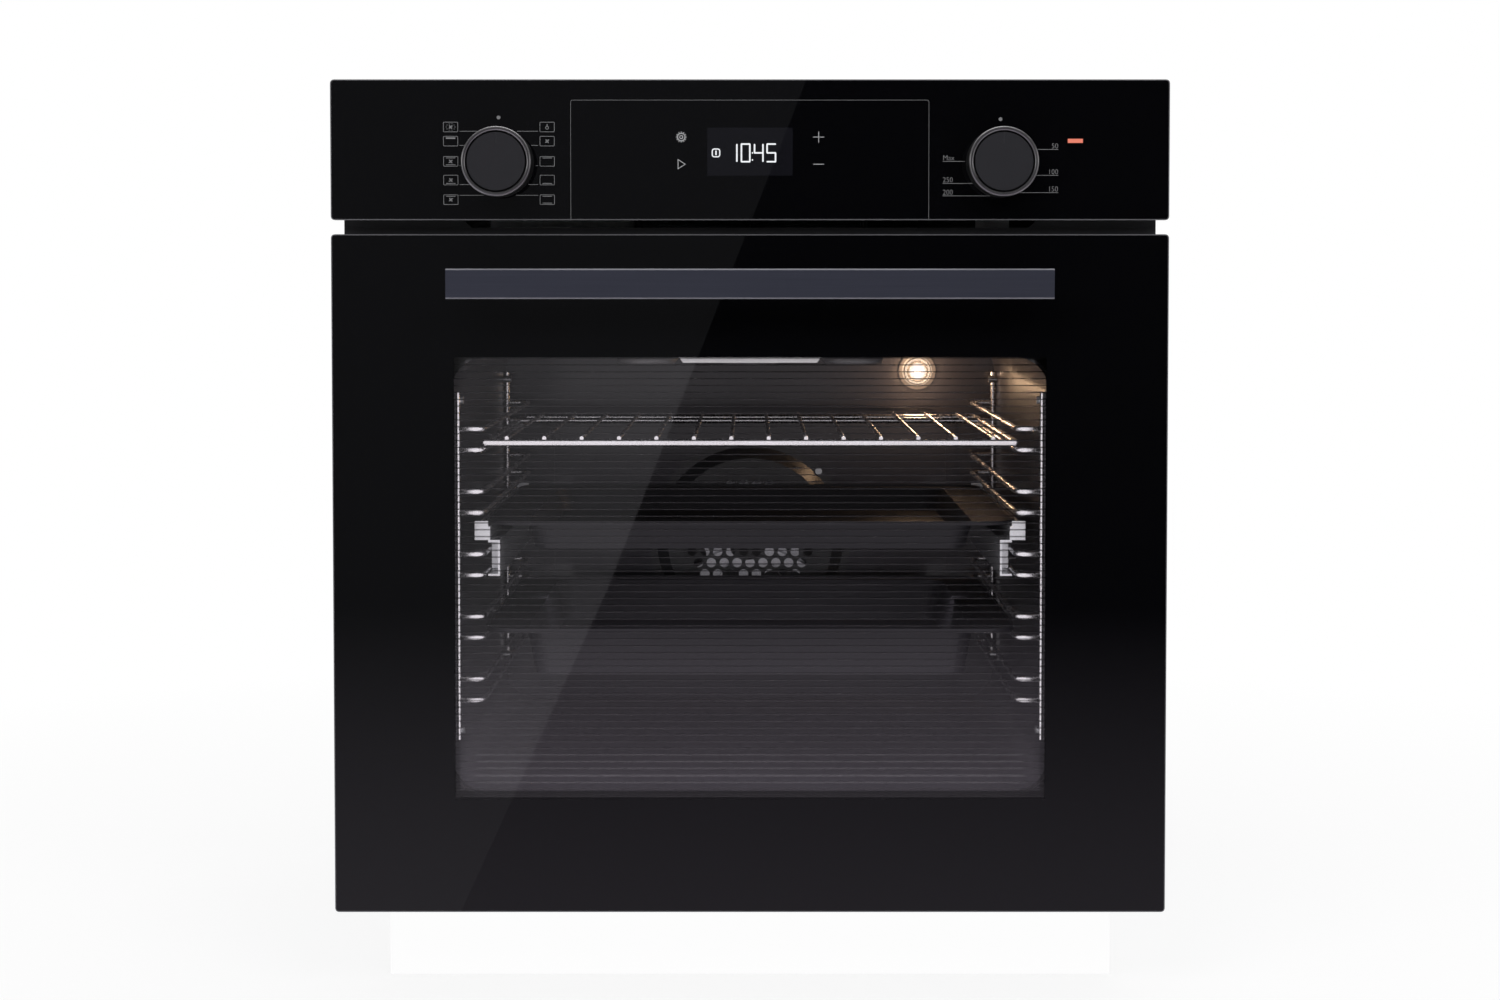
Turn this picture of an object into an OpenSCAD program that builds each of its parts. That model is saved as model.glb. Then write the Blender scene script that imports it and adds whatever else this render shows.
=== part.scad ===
// Built-in wall oven, 60 cm class, with a drop-down glass door.
// Millimetres, +Z up, the front faces -Y. The origin is the centre of the whole
// outline at the level of the base, so the oven stands on the plane z = 0.

/* [Front] */
// Width of the control panel and of the door glass
front_w = 595; // [586:1:604]
// Height from the lower edge of the door to the top of the panel
front_h = 595; // [590:1:610]
// Height of the control panel
panel_h = 99.5; // [96:0.5:104]
// Cooling gap between the panel and the door
panel_gap = 10; // [8:0.5:13]
// Lift of the door's lower edge above the base
front_lift = 4; // [4:0.5:8]
// Thickness of the door glass and of the panel glass
glass_t = 4; // [3:0.5:5]
// Corner radius of the glass
glass_r = 3; // [1:0.5:8]
// Distance from the glass face back to the cabinet front
front_reach = 22; // [20:0.5:26]

/* [Body] */
// Distance from the side of the front in to the body's side
body_side = 19.5; // [16:0.5:24]
// Distance from the top of the panel down to the top of the body
body_drop = 21; // [17:1:27]
// Depth of the body behind the cabinet front
body_d = 530; // [524:1:560]
// Distance from the side of the front in to the edge of the fixing flange
flange_side = 6.5; // [5:0.5:8]
// Thickness of the casing sheet
sheet_t = 1; // [0.8:0.1:1.2]
// Thickness of the front frame sheet
frame_t = 1.5; // [1:0.1:2]
// Diameter of the fixing holes in the flanges
fixing_d = 5; // [4:0.5:6]
// Height of the lower fixing holes above the base
fixing_z = 120; // [80:5:160]
// Distance between the lower and the upper fixing holes
fixing_pitch = 310; // [250:5:330]

/* [Cavity] */
// Inner width of the cavity
cavity_w = 435; // [420:1:440]
// Inner height of the cavity
cavity_h = 318.5; // [312:0.5:324]
// Inner depth of the cavity
cavity_d = 410; // [400:1:420]
// Radius of the cavity's long corners
cavity_r = 25; // [15:1:35]
// Height of the cavity floor above the base
cavity_z = 82.5; // [78:0.5:88]
// Thickness of the enamelled sheet
enamel_t = 1.2; // [0.8:0.1:1.6]
// Thickness of the insulation blanket
blanket_t = 24; // [15:1:26]
// Room for the floor heater under the cavity
floor_room = 10; // [8:0.5:12]
// Space between the closed door and the cavity frame
seal_gap = 4; // [3.5:0.5:6]
// Width of the door seal
seal_w = 8; // [6:0.5:10]

/* [Door] */
// Thickness of the door from the outer to the inner glass face
door_t = 38; // [34:0.5:42]
// Depth of the hinge axis behind the glass face
pivot_depth = 22; // [21:0.5:23]
// Height of the hinge axis above the door's lower edge
pivot_lift = 20; // [18:0.5:21]
// Distance from the side of the door glass in to the hinges
hinge_inset = 46.5; // [44.5:0.5:48.5]
// Diameter of the hinge pins
pin_d = 6; // [5:0.5:7]
// Thickness of the inner glass
inner_glass_t = 4; // [3:0.5:5]
// Thickness of the middle glass
mid_glass_t = 3; // [3:0.5:4]
// Depth of the door's top rail
top_rail_h = 53.5; // [40:0.5:60]
// Overlap of the inner glass on the door's columns
glass_bite = 14; // [8:1:20]
// Wall of the door's profiles
profile_t = 1.5; // [1:0.1:2]

/* [Handle] */
// Length of the handle bar
handle_w = 422; // [380:1:460]
// Height of the handle bar
handle_h = 21; // [16:0.5:26]
// Depth of the handle bar
handle_t = 10; // [7:0.5:13]
// Distance from the glass face to the front of the handle
handle_reach = 45; // [38:0.5:52]
// Distance from the door's upper edge to the middle of the handle
handle_drop = 35; // [28:0.5:45]
// Chamfer along the handle's front edges
handle_chamfer = 1; // [0.5:0.1:2]
// Diameter of the handle posts
post_d = 14; // [10:0.5:16]
// Distance from the end of the bar to a post
post_inset = 24; // [16:1:40]

/* [Controls] */
// Half the distance between the knobs
knob_x = 177.5; // [165:0.5:185]
// Distance from the panel's upper edge to the knob axis
knob_drop = 59; // [50:0.5:62]
// Diameter of the knobs
knob_d = 49; // [42:0.5:54]
// Height of the knobs above the glass
knob_h = 28; // [22:0.5:32]
// Width of the raised rim round the knob's face
knob_rim = 3.2; // [2:0.1:5]
// Thickness of the knob's face disc
cap_t = 3; // [2:0.1:4]
// Wall of the knob
knob_wall = 2; // [1.5:0.1:2.5]
// Diameter of the control shafts
shaft_d = 6; // [5:0.5:8]
// Width of the display
display_w = 60.6; // [50:0.1:70]
// Height of the display
display_h = 33.9; // [28:0.1:40]
// Distance from the panel's upper edge to the middle of the display
display_drop = 51; // [48:0.5:56]
// Width of the pilot light
pilot_w = 10.7; // [8:0.1:14]
// Height of the pilot light
pilot_h = 2.9; // [2:0.1:4]
// Distance from the side of the panel in to the pilot light
pilot_inset = 66.9; // [60:0.1:76]
// Distance from the panel's upper edge to the pilot light
pilot_drop = 43.4; // [38:0.1:50]

/* [Racks] */
// Number of shelf levels
level_count = 5; // [4:1:5]
// Height of the lowest level above the cavity floor
level_first = 65.2; // [60:0.5:72]
// Distance between the levels
level_pitch = 46.15; // [44:0.5:48]
// Distance between the two wires of a level
wire_gap = 15.5; // [14:0.5:17]
// Diameter of the level wires
wire_d = 4; // [3:0.1:4.6]
// Diameter of the rack uprights
upright_d = 4.6; // [4:0.1:6]
// Distance from the cavity wall to the middle of a level wire
wire_reach = 21.7; // [17:0.1:24]
// Distance from the mouth to the front upright
rack_front = 10; // [8:0.5:16]
// Distance between the front and rear uprights
rack_len = 380; // [370:1:382]
// Bend radius of the level wires
wire_bend = 7; // [5:0.5:9]

/* [Shelf and trays] */
// Depth of the wire shelf and the trays
shelf_d = 330; // [310:1:345]
// Diameter of the shelf's frame wire
shelf_wire_d = 5; // [4:0.1:6]
// Diameter of the shelf's cross wires
cross_wire_d = 3; // [2.5:0.1:4]
// Number of cross wires
cross_count = 14; // [10:1:18]
// Thickness of the tray sheet
tray_t = 1; // [0.8:0.1:1.4]
// Depth of the baking tray
tray_h = 22; // [16:0.5:25]
// Depth of the deep pan
pan_h = 37; // [28:0.5:40]
// Width of a tray's basin
basin_w = 332; // [300:1:340]
// Height of the rim round a tray's flange
rim_h = 2; // [2:0.1:5]
// Height of the sliding runners on the fixed rails
runner_h = 26.5; // [25.5:0.5:27]
// Height of the carrier on which the tray rests
carrier_h = 10; // [8:0.5:11]

/* [Fans and lamp] */
// Height of the convection fan above the cavity floor
fan_lift = 141.7; // [130:0.5:150]
// Diameter of the fan cover inside its flange
cover_d = 166.6; // [150:0.5:176]
// Height of the fan cover over the back wall
cover_h = 9; // [6:0.5:12]
// Depth of the fan well behind the back wall
well_d = 38; // [34:0.5:39]
// Diameter of the convection fan
fan_d = 124; // [100:1:126]
// Number of blades on the convection fan
blade_count = 14; // [8:1:18]
// Distance between the cover's holes
hole_pitch = 11.5; // [10.5:0.1:13]
// Diameter of the cover's holes
hole_d = 8.4; // [5:0.1:9.5]
// Radius of the field of holes
hole_field = 57; // [45:1:60]
// Distance of the lamp from the cavity's middle
lamp_x = 149; // [135:1:160]
// Distance from the cavity roof down to the lamp
lamp_drop = 26; // [24:0.5:34]
// Diameter of the lamp glass
lamp_d = 33; // [28:0.5:36]
// Diameter of the cooling blower's wheel
blower_d = 52; // [44:1:56]
// Length of the cooling blower's wheel
blower_w = 180; // [150:1:200]

/* [Hidden] */
$fn = 48;

// Clearances
touch_gap = 0.3;    // between pieces that slide or swing past each other
run_gap = 0.05;     // round a turning shaft or pin

// Planes from front to back
overall_d = handle_reach + front_reach + body_d;
y_handle = -overall_d / 2;
y_glass = y_handle + handle_reach;
y_glass_back = y_glass + glass_t;
y_cabinet = y_glass + front_reach;
y_flange = y_cabinet - frame_t;
trim_t = 1.5;
y_trim = y_flange - trim_t;
y_door_back = y_glass + door_t;
y_mouth = y_door_back + seal_gap;
y_cav0 = y_mouth + frame_t;
y_cav1 = y_cav0 + cavity_d;
y_back = y_cabinet + body_d;
box_proud = 14;
y_rear = y_back - box_proud;
y_well = y_cav1 + enamel_t + well_d;

// Levels from the base up
body_h = front_lift + front_h - body_drop;
z_door0 = front_lift;
door_h = front_h - panel_h - panel_gap;
z_door1 = z_door0 + door_h;
z_panel0 = z_door1 + panel_gap;
z_panel1 = z_door0 + front_h;
z_cav0 = cavity_z;
z_cav1 = cavity_z + cavity_h;
z_cav_mid = (z_cav0 + z_cav1) / 2;
y_pivot = y_glass + pivot_depth;
z_pivot = z_door0 + pivot_lift;
frame_clear = 4;
z_frame0 = z_pivot - (pivot_depth - glass_t) + frame_clear;
z_frame1 = z_panel0 + 14;
z_flange1 = body_h - 4;
z_knob = z_panel1 - knob_drop;
z_display = z_panel1 - display_drop;
z_pilot = z_panel1 - pilot_drop;

// Widths
body_w = front_w - 2 * body_side;
flange_w = front_w - 2 * flange_side;
pilot_x = front_w / 2 - pilot_inset;
half_body = body_w / 2;
hinge_x = front_w / 2 - hinge_inset;
half_cavity = cavity_w / 2;
flange_x = (half_body + flange_w / 2) / 2;

// Racks
wire_r = wire_d / 2;
upright_r = upright_d / 2;
x_upright = half_cavity - touch_gap - upright_r;
x_wire = half_cavity - wire_reach;
y_up0 = y_cav0 + rack_front;
y_up1 = y_up0 + rack_len;
upright_below = 29;
upright_above = 27;
z_up0 = z_cav0 + level_first - upright_below;
z_up1 = level_z(level_count - 1) + wire_gap + upright_above;
rail_level = 2;
pan_level = 1;
shelf_level = level_count - 1;

function level_z(k) = z_cav0 + level_first + k * level_pitch;

// Sheets laid on a plane: the 2-D child gives the two other coordinates.
module sheet_xz(y0, y1) {
    translate([0, y1, 0]) rotate([90, 0, 0]) linear_extrude(height = y1 - y0) children();
}

module sheet_yz(x0, x1) {
    translate([x0, 0, 0]) rotate([90, 0, 90]) linear_extrude(height = x1 - x0) children();
}

module sheet_xy(z0, z1) {
    translate([0, 0, z0]) linear_extrude(height = z1 - z0) children();
}

module block(x0, x1, y0, y1, z0, z1) {
    translate([x0, y0, z0]) cube([x1 - x0, y1 - y0, z1 - z0]);
}

module rod_x(x0, x1, y, z, r) {
    translate([x0, y, z]) rotate([0, 90, 0]) cylinder(r = r, h = x1 - x0);
}

module rod_y(y0, y1, x, z, r) {
    translate([x, y1, z]) rotate([90, 0, 0]) cylinder(r = r, h = y1 - y0);
}

module rod_z(z0, z1, x, y, r) {
    translate([x, y, z0]) cylinder(r = r, h = z1 - z0);
}

module both_sides() {
    children();
    mirror([1, 0, 0]) children();
}

module rounded(w, h, r) {
    square([w - 2 * r, h], center = true);
    square([w, h - 2 * r], center = true);
    for (sx = [-1, 1], sy = [-1, 1])
        translate([sx * (w / 2 - r), sy * (h / 2 - r)]) circle(r = r);
}

module span(u0, u1, v0, v1) {
    translate([u0, v0]) square([u1 - u0, v1 - v0]);
}

// A turned piece whose axis runs along Y; its profile is [radius, distance to the front].
module turned(x, y, z, profile) {
    translate([x, y, z]) rotate([90, 0, 0]) rotate_extrude() polygon(profile);
}

// ---- Casing -------------------------------------------------------------

press_h = 2.5;

// A long rounded field that is pressed into a panel; w and l are its outline.
module pressed(w, l, z_face) {
    difference() {
        translate([0, 0, z_face]) linear_extrude(height = press_h + sheet_t)
            rounded(w, l, w / 2 - 0.1);
        translate([0, 0, z_face - 1]) linear_extrude(height = press_h + 1)
            rounded(w - 2 * sheet_t, l - 2 * sheet_t, w / 2 - sheet_t - 0.1);
    }
}

module pressed_hole(w, l) {
    rounded(w - 2 * sheet_t, l - 2 * sheet_t, w / 2 - sheet_t - 0.1);
}

casing_y0 = y_cav0;
lip = 12;
base_lip = 22;
slot_w = 4;

module base_plate() {
    color("#8f9296") union() {
        block(-half_body, half_body, casing_y0, y_rear, 0, sheet_t);
        both_sides()
            block(half_body - 2 * sheet_t, half_body - sheet_t, casing_y0, y_rear - sheet_t,
                  0, lip);
        block(-hinge_x + 16, hinge_x - 16, casing_y0, casing_y0 + sheet_t, 0, base_lip);
        for (x = [-120, 0, 120])
            block(x - 10, x + 10, casing_y0 + 60, y_rear - 60, sheet_t / 2, sheet_t + 3);
    }
}

vent_len = 60;
vent_edge = 40;
vent_step = 12;
press_w = 46;
press_edge = 70;

module side_panel() {
    press_l = z_duct0 - lip - press_edge;
    press_z = press_edge + press_l / 2;
    depth = y_rear - casing_y0;
    color("#9a9da1") union() {
        sheet_yz(half_body - sheet_t, half_body) difference() {
            span(casing_y0, y_rear, sheet_t, body_h - sheet_t);
            for (i = [0:5])
                span(y_rear - vent_edge - vent_len, y_rear - vent_edge,
                     body_h - vent_edge - i * vent_step - slot_w,
                     body_h - vent_edge - i * vent_step);
            for (k = [1, 2]) translate([casing_y0 + depth * k / 4, press_z])
                pressed_hole(press_w, press_l);
        }
        for (k = [1, 2]) translate([half_body, casing_y0 + depth * k / 4, press_z])
            rotate([0, -90, 0]) rotate([0, 0, 90]) pressed(press_w, press_l, 0);
    }
}

module side_panel_left() {
    mirror([1, 0, 0]) side_panel();
}

module side_panel_right() {
    side_panel();
}

module top_cover() {
    y_mid = (casing_y0 + y_rear) / 2;
    press_l = y_rear - casing_y0 - 2 * press_edge;
    color("#9a9da1") difference() {
        union() {
            sheet_xy(body_h - sheet_t, body_h) difference() {
                span(-half_body, half_body, casing_y0, y_rear);
                for (sx = [-1, 1]) translate([sx * half_body * 2 / 3, y_mid])
                    pressed_hole(press_w, press_l);
            }
            for (sx = [-1, 1]) translate([sx * half_body * 2 / 3, y_mid, body_h])
                mirror([0, 0, 1]) pressed(press_w, press_l, 0);
            both_sides()
                block(half_body - 2 * sheet_t, half_body - sheet_t, casing_y0,
                      y_rear - sheet_t, body_h - lip, body_h);
        }
        for (i = [-4:4])
            block(i * 24 - slot_w / 2, i * 24 + slot_w / 2, y_rear - 130, y_rear - 70,
                  body_h - 2 * sheet_t, body_h + 1);
    }
}

box_drop = 58;
box_w = 72;
box_h = 46;
box_x = 170;
box_z = body_h - box_drop;
box_in = 24;

module rear_panel() {
    color("#9a9da1") sheet_xz(y_rear - sheet_t, y_rear) difference() {
        span(-half_body + sheet_t, half_body - sheet_t, sheet_t, body_h - sheet_t);
        span(box_x - box_w / 2, box_x + box_w / 2, box_z - box_h / 2, box_z + box_h / 2);
        for (row = [0:3], i = [-6:3])
            span(i * 24 - 8, i * 24 + 8, body_h - 78 + row * vent_step,
                 body_h - 78 + row * vent_step + slot_w);
        for (row = [-3:3], sx = [-1, 1])
            span(sx * 62 - 16, sx * 62 + 16,
                 z_fan + row * vent_step - slot_w / 2, z_fan + row * vent_step + slot_w / 2);
    }
}

gland_r = 5.5;
gland_depth = 26;

module terminal_box() {
    color("#2b2c2e") difference() {
        union() {
            block(box_x - box_w / 2, box_x + box_w / 2, y_rear - sheet_t - box_in, y_back - 4,
                  box_z - box_h / 2, box_z + box_h / 2);
            rod_y(y_back - 4.5, y_back, box_x, box_z, 2 * gland_r);
            for (sz = [-1, 1])
                block(box_x - box_w / 2 - 6, box_x + box_w / 2 + 6, y_rear, y_rear + 2,
                      box_z + sz * (box_h / 2 - 4) - 4, box_z + sz * (box_h / 2 - 4) + 4);
        }
        rod_y(y_back - gland_depth, y_back + 1, box_x, box_z, gland_r);
    }
}

// ---- Front frame and cavity ----------------------------------------------

vent_half = 206.6;
vent_slant = 7;
vent_drop = 5;
arm_slot = 10;

module front_frame() {
    color("#17181a") difference() {
        union() {
            sheet_xz(y_mouth, y_cav0) span(-half_body, half_body, z_frame0, z_frame1);
            both_sides() {
                block(half_body - frame_t, half_body, y_flange, y_cav0, z_frame0, z_flange1);
                block(half_body - frame_t, flange_w / 2, y_flange, y_cabinet,
                      z_frame0, z_flange1);
            }
        }
        sheet_xz(y_mouth - 1, y_cav0 + 1) {
            translate([0, z_cav_mid]) rounded(cavity_w, cavity_h, cavity_r);
            span(-vent_half, vent_half, z_panel0 - vent_drop - 3, z_panel0 + 9);
            for (sx = [-1, 1])
                span(sx * hinge_x - arm_slot / 2, sx * hinge_x + arm_slot / 2,
                     z_pivot - 8, z_pivot + 8);
        }
        for (sx = [-1, 1], z = [fixing_z, fixing_z + fixing_pitch])
            rod_y(y_flange - 1, y_cabinet + 1, sx * flange_x, z, fixing_d / 2);
    }
}

seam_drop = 12;
z_seam = z_cav1 - cavity_r - seam_drop;

module cavity_ring() {
    difference() {
        translate([0, z_cav_mid])
            rounded(cavity_w + 2 * enamel_t, cavity_h + 2 * enamel_t, cavity_r + enamel_t);
        translate([0, z_cav_mid]) rounded(cavity_w, cavity_h, cavity_r);
    }
}

module cavity_tub() {
    color("#2a2b2e") sheet_xz(y_cav0, y_cav1) intersection() {
        cavity_ring();
        span(-cavity_w, cavity_w, 0, z_seam);
    }
}

module cavity_roof() {
    color("#2a2b2e") sheet_xz(y_cav0, y_cav1) intersection() {
        cavity_ring();
        span(-cavity_w, cavity_w, z_seam, z_cav1 + 50);
    }
}

z_fan = z_cav0 + fan_lift;
z_lamp = z_cav1 - lamp_drop;
well_r = cover_d / 2 + 2.5;
bead_w = 9;
bead_h = 2.4;
bead_side = 34;
bead_top = 50;
bead_bottom = 30;
heater_r = 3.2;
ring_r = (fan_d / 2 + well_r) / 2;
ring_leg = 9;
lamp_hole_r = lamp_d / 2 - 4;

module bead_outline(inset) {
    w = cavity_w - 2 * (bead_side + inset);
    h = cavity_h - bead_top - bead_bottom - 2 * inset;
    translate([0, z_cav0 + bead_bottom + inset + h / 2]) rounded(w, h, 22 - inset / 2);
}

module cavity_back() {
    color("#2a2b2e") difference() {
        union() {
            sheet_xz(y_cav1, y_cav1 + enamel_t) translate([0, z_cav_mid])
                rounded(cavity_w + 2 * enamel_t, cavity_h + 2 * enamel_t, cavity_r + enamel_t);
            sheet_xz(y_cav1 - bead_h, y_cav1 + enamel_t / 2) difference() {
                bead_outline(0);
                bead_outline(bead_w);
            }
            rod_y(y_cav1 + enamel_t / 2, y_well, 0, z_fan, well_r + enamel_t);
        }
        rod_y(y_cav1 - 1, y_well - enamel_t, 0, z_fan, well_r);
        rod_y(y_cav1, y_well + 1, 0, z_fan, 7);
        for (sx = [-1, 1])
            rod_y(y_cav1, y_well + 1, sx * ring_leg, z_fan + ring_r, heater_r + touch_gap);
        rod_y(y_cav1 - 1, y_cav1 + 5, lamp_x, z_lamp, lamp_hole_r + touch_gap);
    }
}

module insulation() {
    out_x = half_cavity + enamel_t + touch_gap + blanket_t;
    in_x = half_cavity + enamel_t + touch_gap;
    color("#c9bf9a") sheet_xz(y_cav0 + 2, y_cav1) difference() {
        span(-out_x, out_x, z_cav0 - enamel_t - floor_room - blanket_t,
             z_cav1 + enamel_t + touch_gap + blanket_t);
        span(-in_x, in_x, z_cav0 - enamel_t - floor_room, z_cav1 + enamel_t + touch_gap);
    }
}

module mouth_seal() {
    color("#3a3a3c") sheet_xz(y_door_back + touch_gap, y_mouth)
        translate([0, z_cav_mid]) difference() {
            rounded(cavity_w + 4 + 2 * seal_w, cavity_h + 4 + 2 * seal_w, cavity_r + 2 + seal_w);
            rounded(cavity_w + 4, cavity_h + 4, cavity_r + 2);
        }
}

// ---- Inside the cavity ------------------------------------------------------

flange_ring = 6.5;
cover_slope = 10;
cover_t = 1;

module hole_grid() {
    row_h = hole_pitch * sqrt(3) / 2;
    rows = floor(hole_field / row_h);
    cols = ceil(hole_field / hole_pitch);
    for (row = [-rows:rows], col = [-cols:cols]) {
        u = (col + (row % 2 == 0 ? 0 : 0.5)) * hole_pitch;
        v = row * row_h;
        if (norm([u, v]) < hole_field) translate([u, v]) circle(d = hole_d);
    }
}

module fan_cover() {
    r1 = cover_d / 2;
    r0 = r1 - cover_slope;
    color("#303236") difference() {
        turned(0, y_cav1, z_fan, [
            [0, cover_h - cover_t], [r0 - 0.4, cover_h - cover_t], [r1 - 0.4, 0],
            [r1 + flange_ring, 0], [r1 + flange_ring, cover_t], [r1, cover_t],
            [r0, cover_h], [0, cover_h]
        ]);
        sheet_xz(y_cav1 - cover_h - 1, y_cav1) translate([0, z_fan]) hole_grid();
    }
}

fan_h = 20;
fan_y = y_cav1 + 6;

module convection_fan() {
    color("#c4c7ca") translate([0, fan_y + fan_h, z_fan]) rotate([90, 0, 0]) union() {
        cylinder(r = fan_d / 2, h = 1);
        cylinder(r = 9, h = fan_h - 4);
        for (i = [0:blade_count - 1])
            rotate([0, 0, i * 360 / blade_count])
                translate([fan_d / 2 - 34, -0.5, 0]) cube([33, 1, fan_h]);
        translate([0, 0, -motor_shaft_len]) cylinder(d = shaft_d, h = motor_shaft_len + 1);
    }
}

motor_gap = 2;
motor_r = 30;
motor_len = min(34, y_rear - sheet_t - y_well - motor_gap - 6);
motor_bore = 24;
motor_shaft_len = y_well + motor_gap + motor_bore - touch_gap - fan_y - fan_h - 1;

module fan_motor() {
    color("#6f7276") difference() {
        union() {
            rod_y(y_well, y_well + motor_gap + 1, 0, z_fan, 22);
            rod_y(y_well + motor_gap, y_well + motor_gap + motor_len, 0, z_fan, motor_r);
            for (sx = [-1, 1], sz = [-1, 1])
                rod_y(y_well, y_well + motor_gap + 6, sx * 18, z_fan + sz * 18, 4);
        }
        rod_y(y_well - 1, y_well + motor_gap + motor_bore, 0, z_fan, shaft_d / 2 + run_gap);
    }
}

module ring_heater() {
    y_ring = y_cav1 + 16;
    gap_angle = asin(ring_leg / ring_r);
    color("#3d3a38") union() {
        translate([0, y_ring, z_fan]) rotate([90, 0, 0])
            rotate([0, 0, 90 + gap_angle]) rotate_extrude(angle = 360 - 2 * gap_angle)
                translate([ring_r, 0]) circle(r = heater_r);
        for (sx = [-1, 1])
            rod_y(y_ring - heater_r, y_well + 8, sx * ring_leg,
                  z_fan + ring_r * cos(gap_angle), heater_r);
    }
}

heater_step = 40;
heater_loops = 3;
roof_gap = 6;
heater_front = 120;
heater_rear = 70;
strap_inset = 35;

// A flat serpentine of tube: legs along Y, joined by half rings in turn.
module serpentine(legs, step, y0, y1, z, r) {
    x0 = -(legs - 1) * step / 2;
    for (i = [0:legs - 1]) rod_y(y0, y1, x0 + i * step, z, r);
    for (i = [0:legs - 2])
        translate([x0 + (i + 0.5) * step, i % 2 == 0 ? y0 : y1, z])
            rotate([0, 0, i % 2 == 0 ? 180 : 0])
                rotate_extrude(angle = 180) translate([step / 2, 0]) circle(r = r);
}

module grill_heater() {
    z = z_cav1 - roof_gap;
    y0 = y_cav0 + heater_front;
    y1 = y_cav1 - heater_rear;
    color("#4a4644") union() {
        serpentine(2 * heater_loops, heater_step, y0, y1, z, heater_r);
        both_sides() rod_y(y1 - 1, y_cav1, (heater_loops - 0.5) * heater_step, z, heater_r);
        for (y = [y0 + strap_inset, y1 - strap_inset])
            block(12 - heater_loops * heater_step, heater_loops * heater_step - 12, y, y + 4,
                  z + heater_r - 0.6, z_cav1);
    }
}

floor_step = 90;

module floor_heater() {
    z = z_cav0 - enamel_t - touch_gap - heater_r;
    color("#4a4644") serpentine(4, floor_step, y_cav0 + heater_front, y_cav1 - heater_rear,
                                z, heater_r);
}

bracket_w = 104;
bracket_drop = 4.4;

module roof_bracket() {
    y = y_cav0 + 4;
    color("#d9dadc") union() {
        block(-bracket_w / 2, bracket_w / 2, y, y + 14, z_cav1 - 1, z_cav1);
        sheet_xz(y, y + 1) polygon([
            [-bracket_w / 2, z_cav1], [bracket_w / 2, z_cav1],
            [bracket_w / 2 - 3, z_cav1 - bracket_drop],
            [-bracket_w / 2 + 3, z_cav1 - bracket_drop]
        ]);
    }
}

lens_rim = 3;
lens_dome = 12;
lens_t = 2.2;

module lamp_lens() {
    dome_r = lamp_hole_r;
    steps = 12;
    outer = [for (i = [0:steps]) [dome_r * cos(i * 90 / steps),
                                  lens_rim + (lens_dome - lens_rim) * sin(i * 90 / steps)]];
    in_r = dome_r - lens_t;
    inner = [for (i = [steps:-1:0]) [in_r * cos(i * 90 / steps),
                                     (lens_dome - lens_t) * sin(i * 90 / steps)]];
    color("#fff1cf") turned(lamp_x, y_cav1, z_lamp,
        concat([[lamp_d / 2, 0], [lamp_d / 2, lens_rim]], outer, inner));
}

socket_len = 34;

module lamp_socket() {
    r = lamp_hole_r;
    color("#b9bbbd") difference() {
        union() {
            rod_y(y_cav1, y_cav1 + socket_len, lamp_x, z_lamp, r);
            rod_y(y_cav1 + enamel_t, y_cav1 + enamel_t + 1.5, lamp_x, z_lamp, r + 4);
        }
        rod_y(y_cav1 - 1, y_cav1 + socket_len - 3, lamp_x, z_lamp, r - 2);
    }
}

module lamp_bulb() {
    y_seat = y_cav1 + socket_len - 3;
    color("#fff6dd") union() {
        rod_y(y_cav1 + 6, y_seat, lamp_x, z_lamp, 4.5);
        rod_y(y_cav1 - 1, y_cav1 + 7, lamp_x, z_lamp, 6.5);
        translate([lamp_x, y_cav1 - 1, z_lamp]) sphere(r = 6.5);
    }
}

module rack_uprights() {
    color("#c9ccd0") both_sides() {
        rod_z(z_up0, z_up1, x_upright, y_up0, upright_r);
        rod_z(z_up0, z_up1, x_upright, y_up1, upright_r);
    }
}

// One level wire: in from the front upright, back along the wall, out to the rear one.
module level_wire(z) {
    x_out = x_upright - upright_r;
    x_bend = x_wire + wire_bend;
    union() {
        rod_x(x_bend, x_out, y_up0, z, wire_r);
        rod_x(x_bend, x_out, y_up1, z, wire_r);
        rod_y(y_up0 + wire_bend, y_up1 - wire_bend, x_wire, z, wire_r);
        translate([x_bend, y_up0 + wire_bend, z]) rotate([0, 0, 180])
            rotate_extrude(angle = 90) translate([wire_bend, 0]) circle(r = wire_r);
        translate([x_bend, y_up1 - wire_bend, z]) rotate([0, 0, 90])
            rotate_extrude(angle = 90) translate([wire_bend, 0]) circle(r = wire_r);
    }
}

module rack_wires() {
    color("#c9ccd0") both_sides() for (k = [0:level_count - 1], up = [0, wire_gap])
        level_wire(level_z(k) + up);
}

// ---- Pull-out rails ---------------------------------------------------------

runner_t = 1.5;
rail_play = touch_gap;
rail_x1 = x_wire - wire_r;
rail_w = 7.8;
rail_z0 = level_z(rail_level) - 1;
rail_y0 = y_up0 + 40;
rail_len = shelf_d - 10;
runner_y0 = y_up0 + 5;

module rails() {
    color("#9fa3a7") both_sides() union() {
        block(rail_x1 - rail_w, rail_x1, rail_y0, rail_y0 + rail_len,
              rail_z0 + runner_t + rail_play, rail_z0 + runner_h - runner_t - rail_play);
        for (y = [rail_y0 + 20, rail_y0 + rail_len - 40])
            block(rail_x1 - 1, rail_x1 + 2 * wire_r + 1, y, y + 10,
                  level_z(rail_level) + wire_gap + wire_r,
                  level_z(rail_level) + wire_gap + wire_r + 1);
    }
}

carrier_out = 9;

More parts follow.
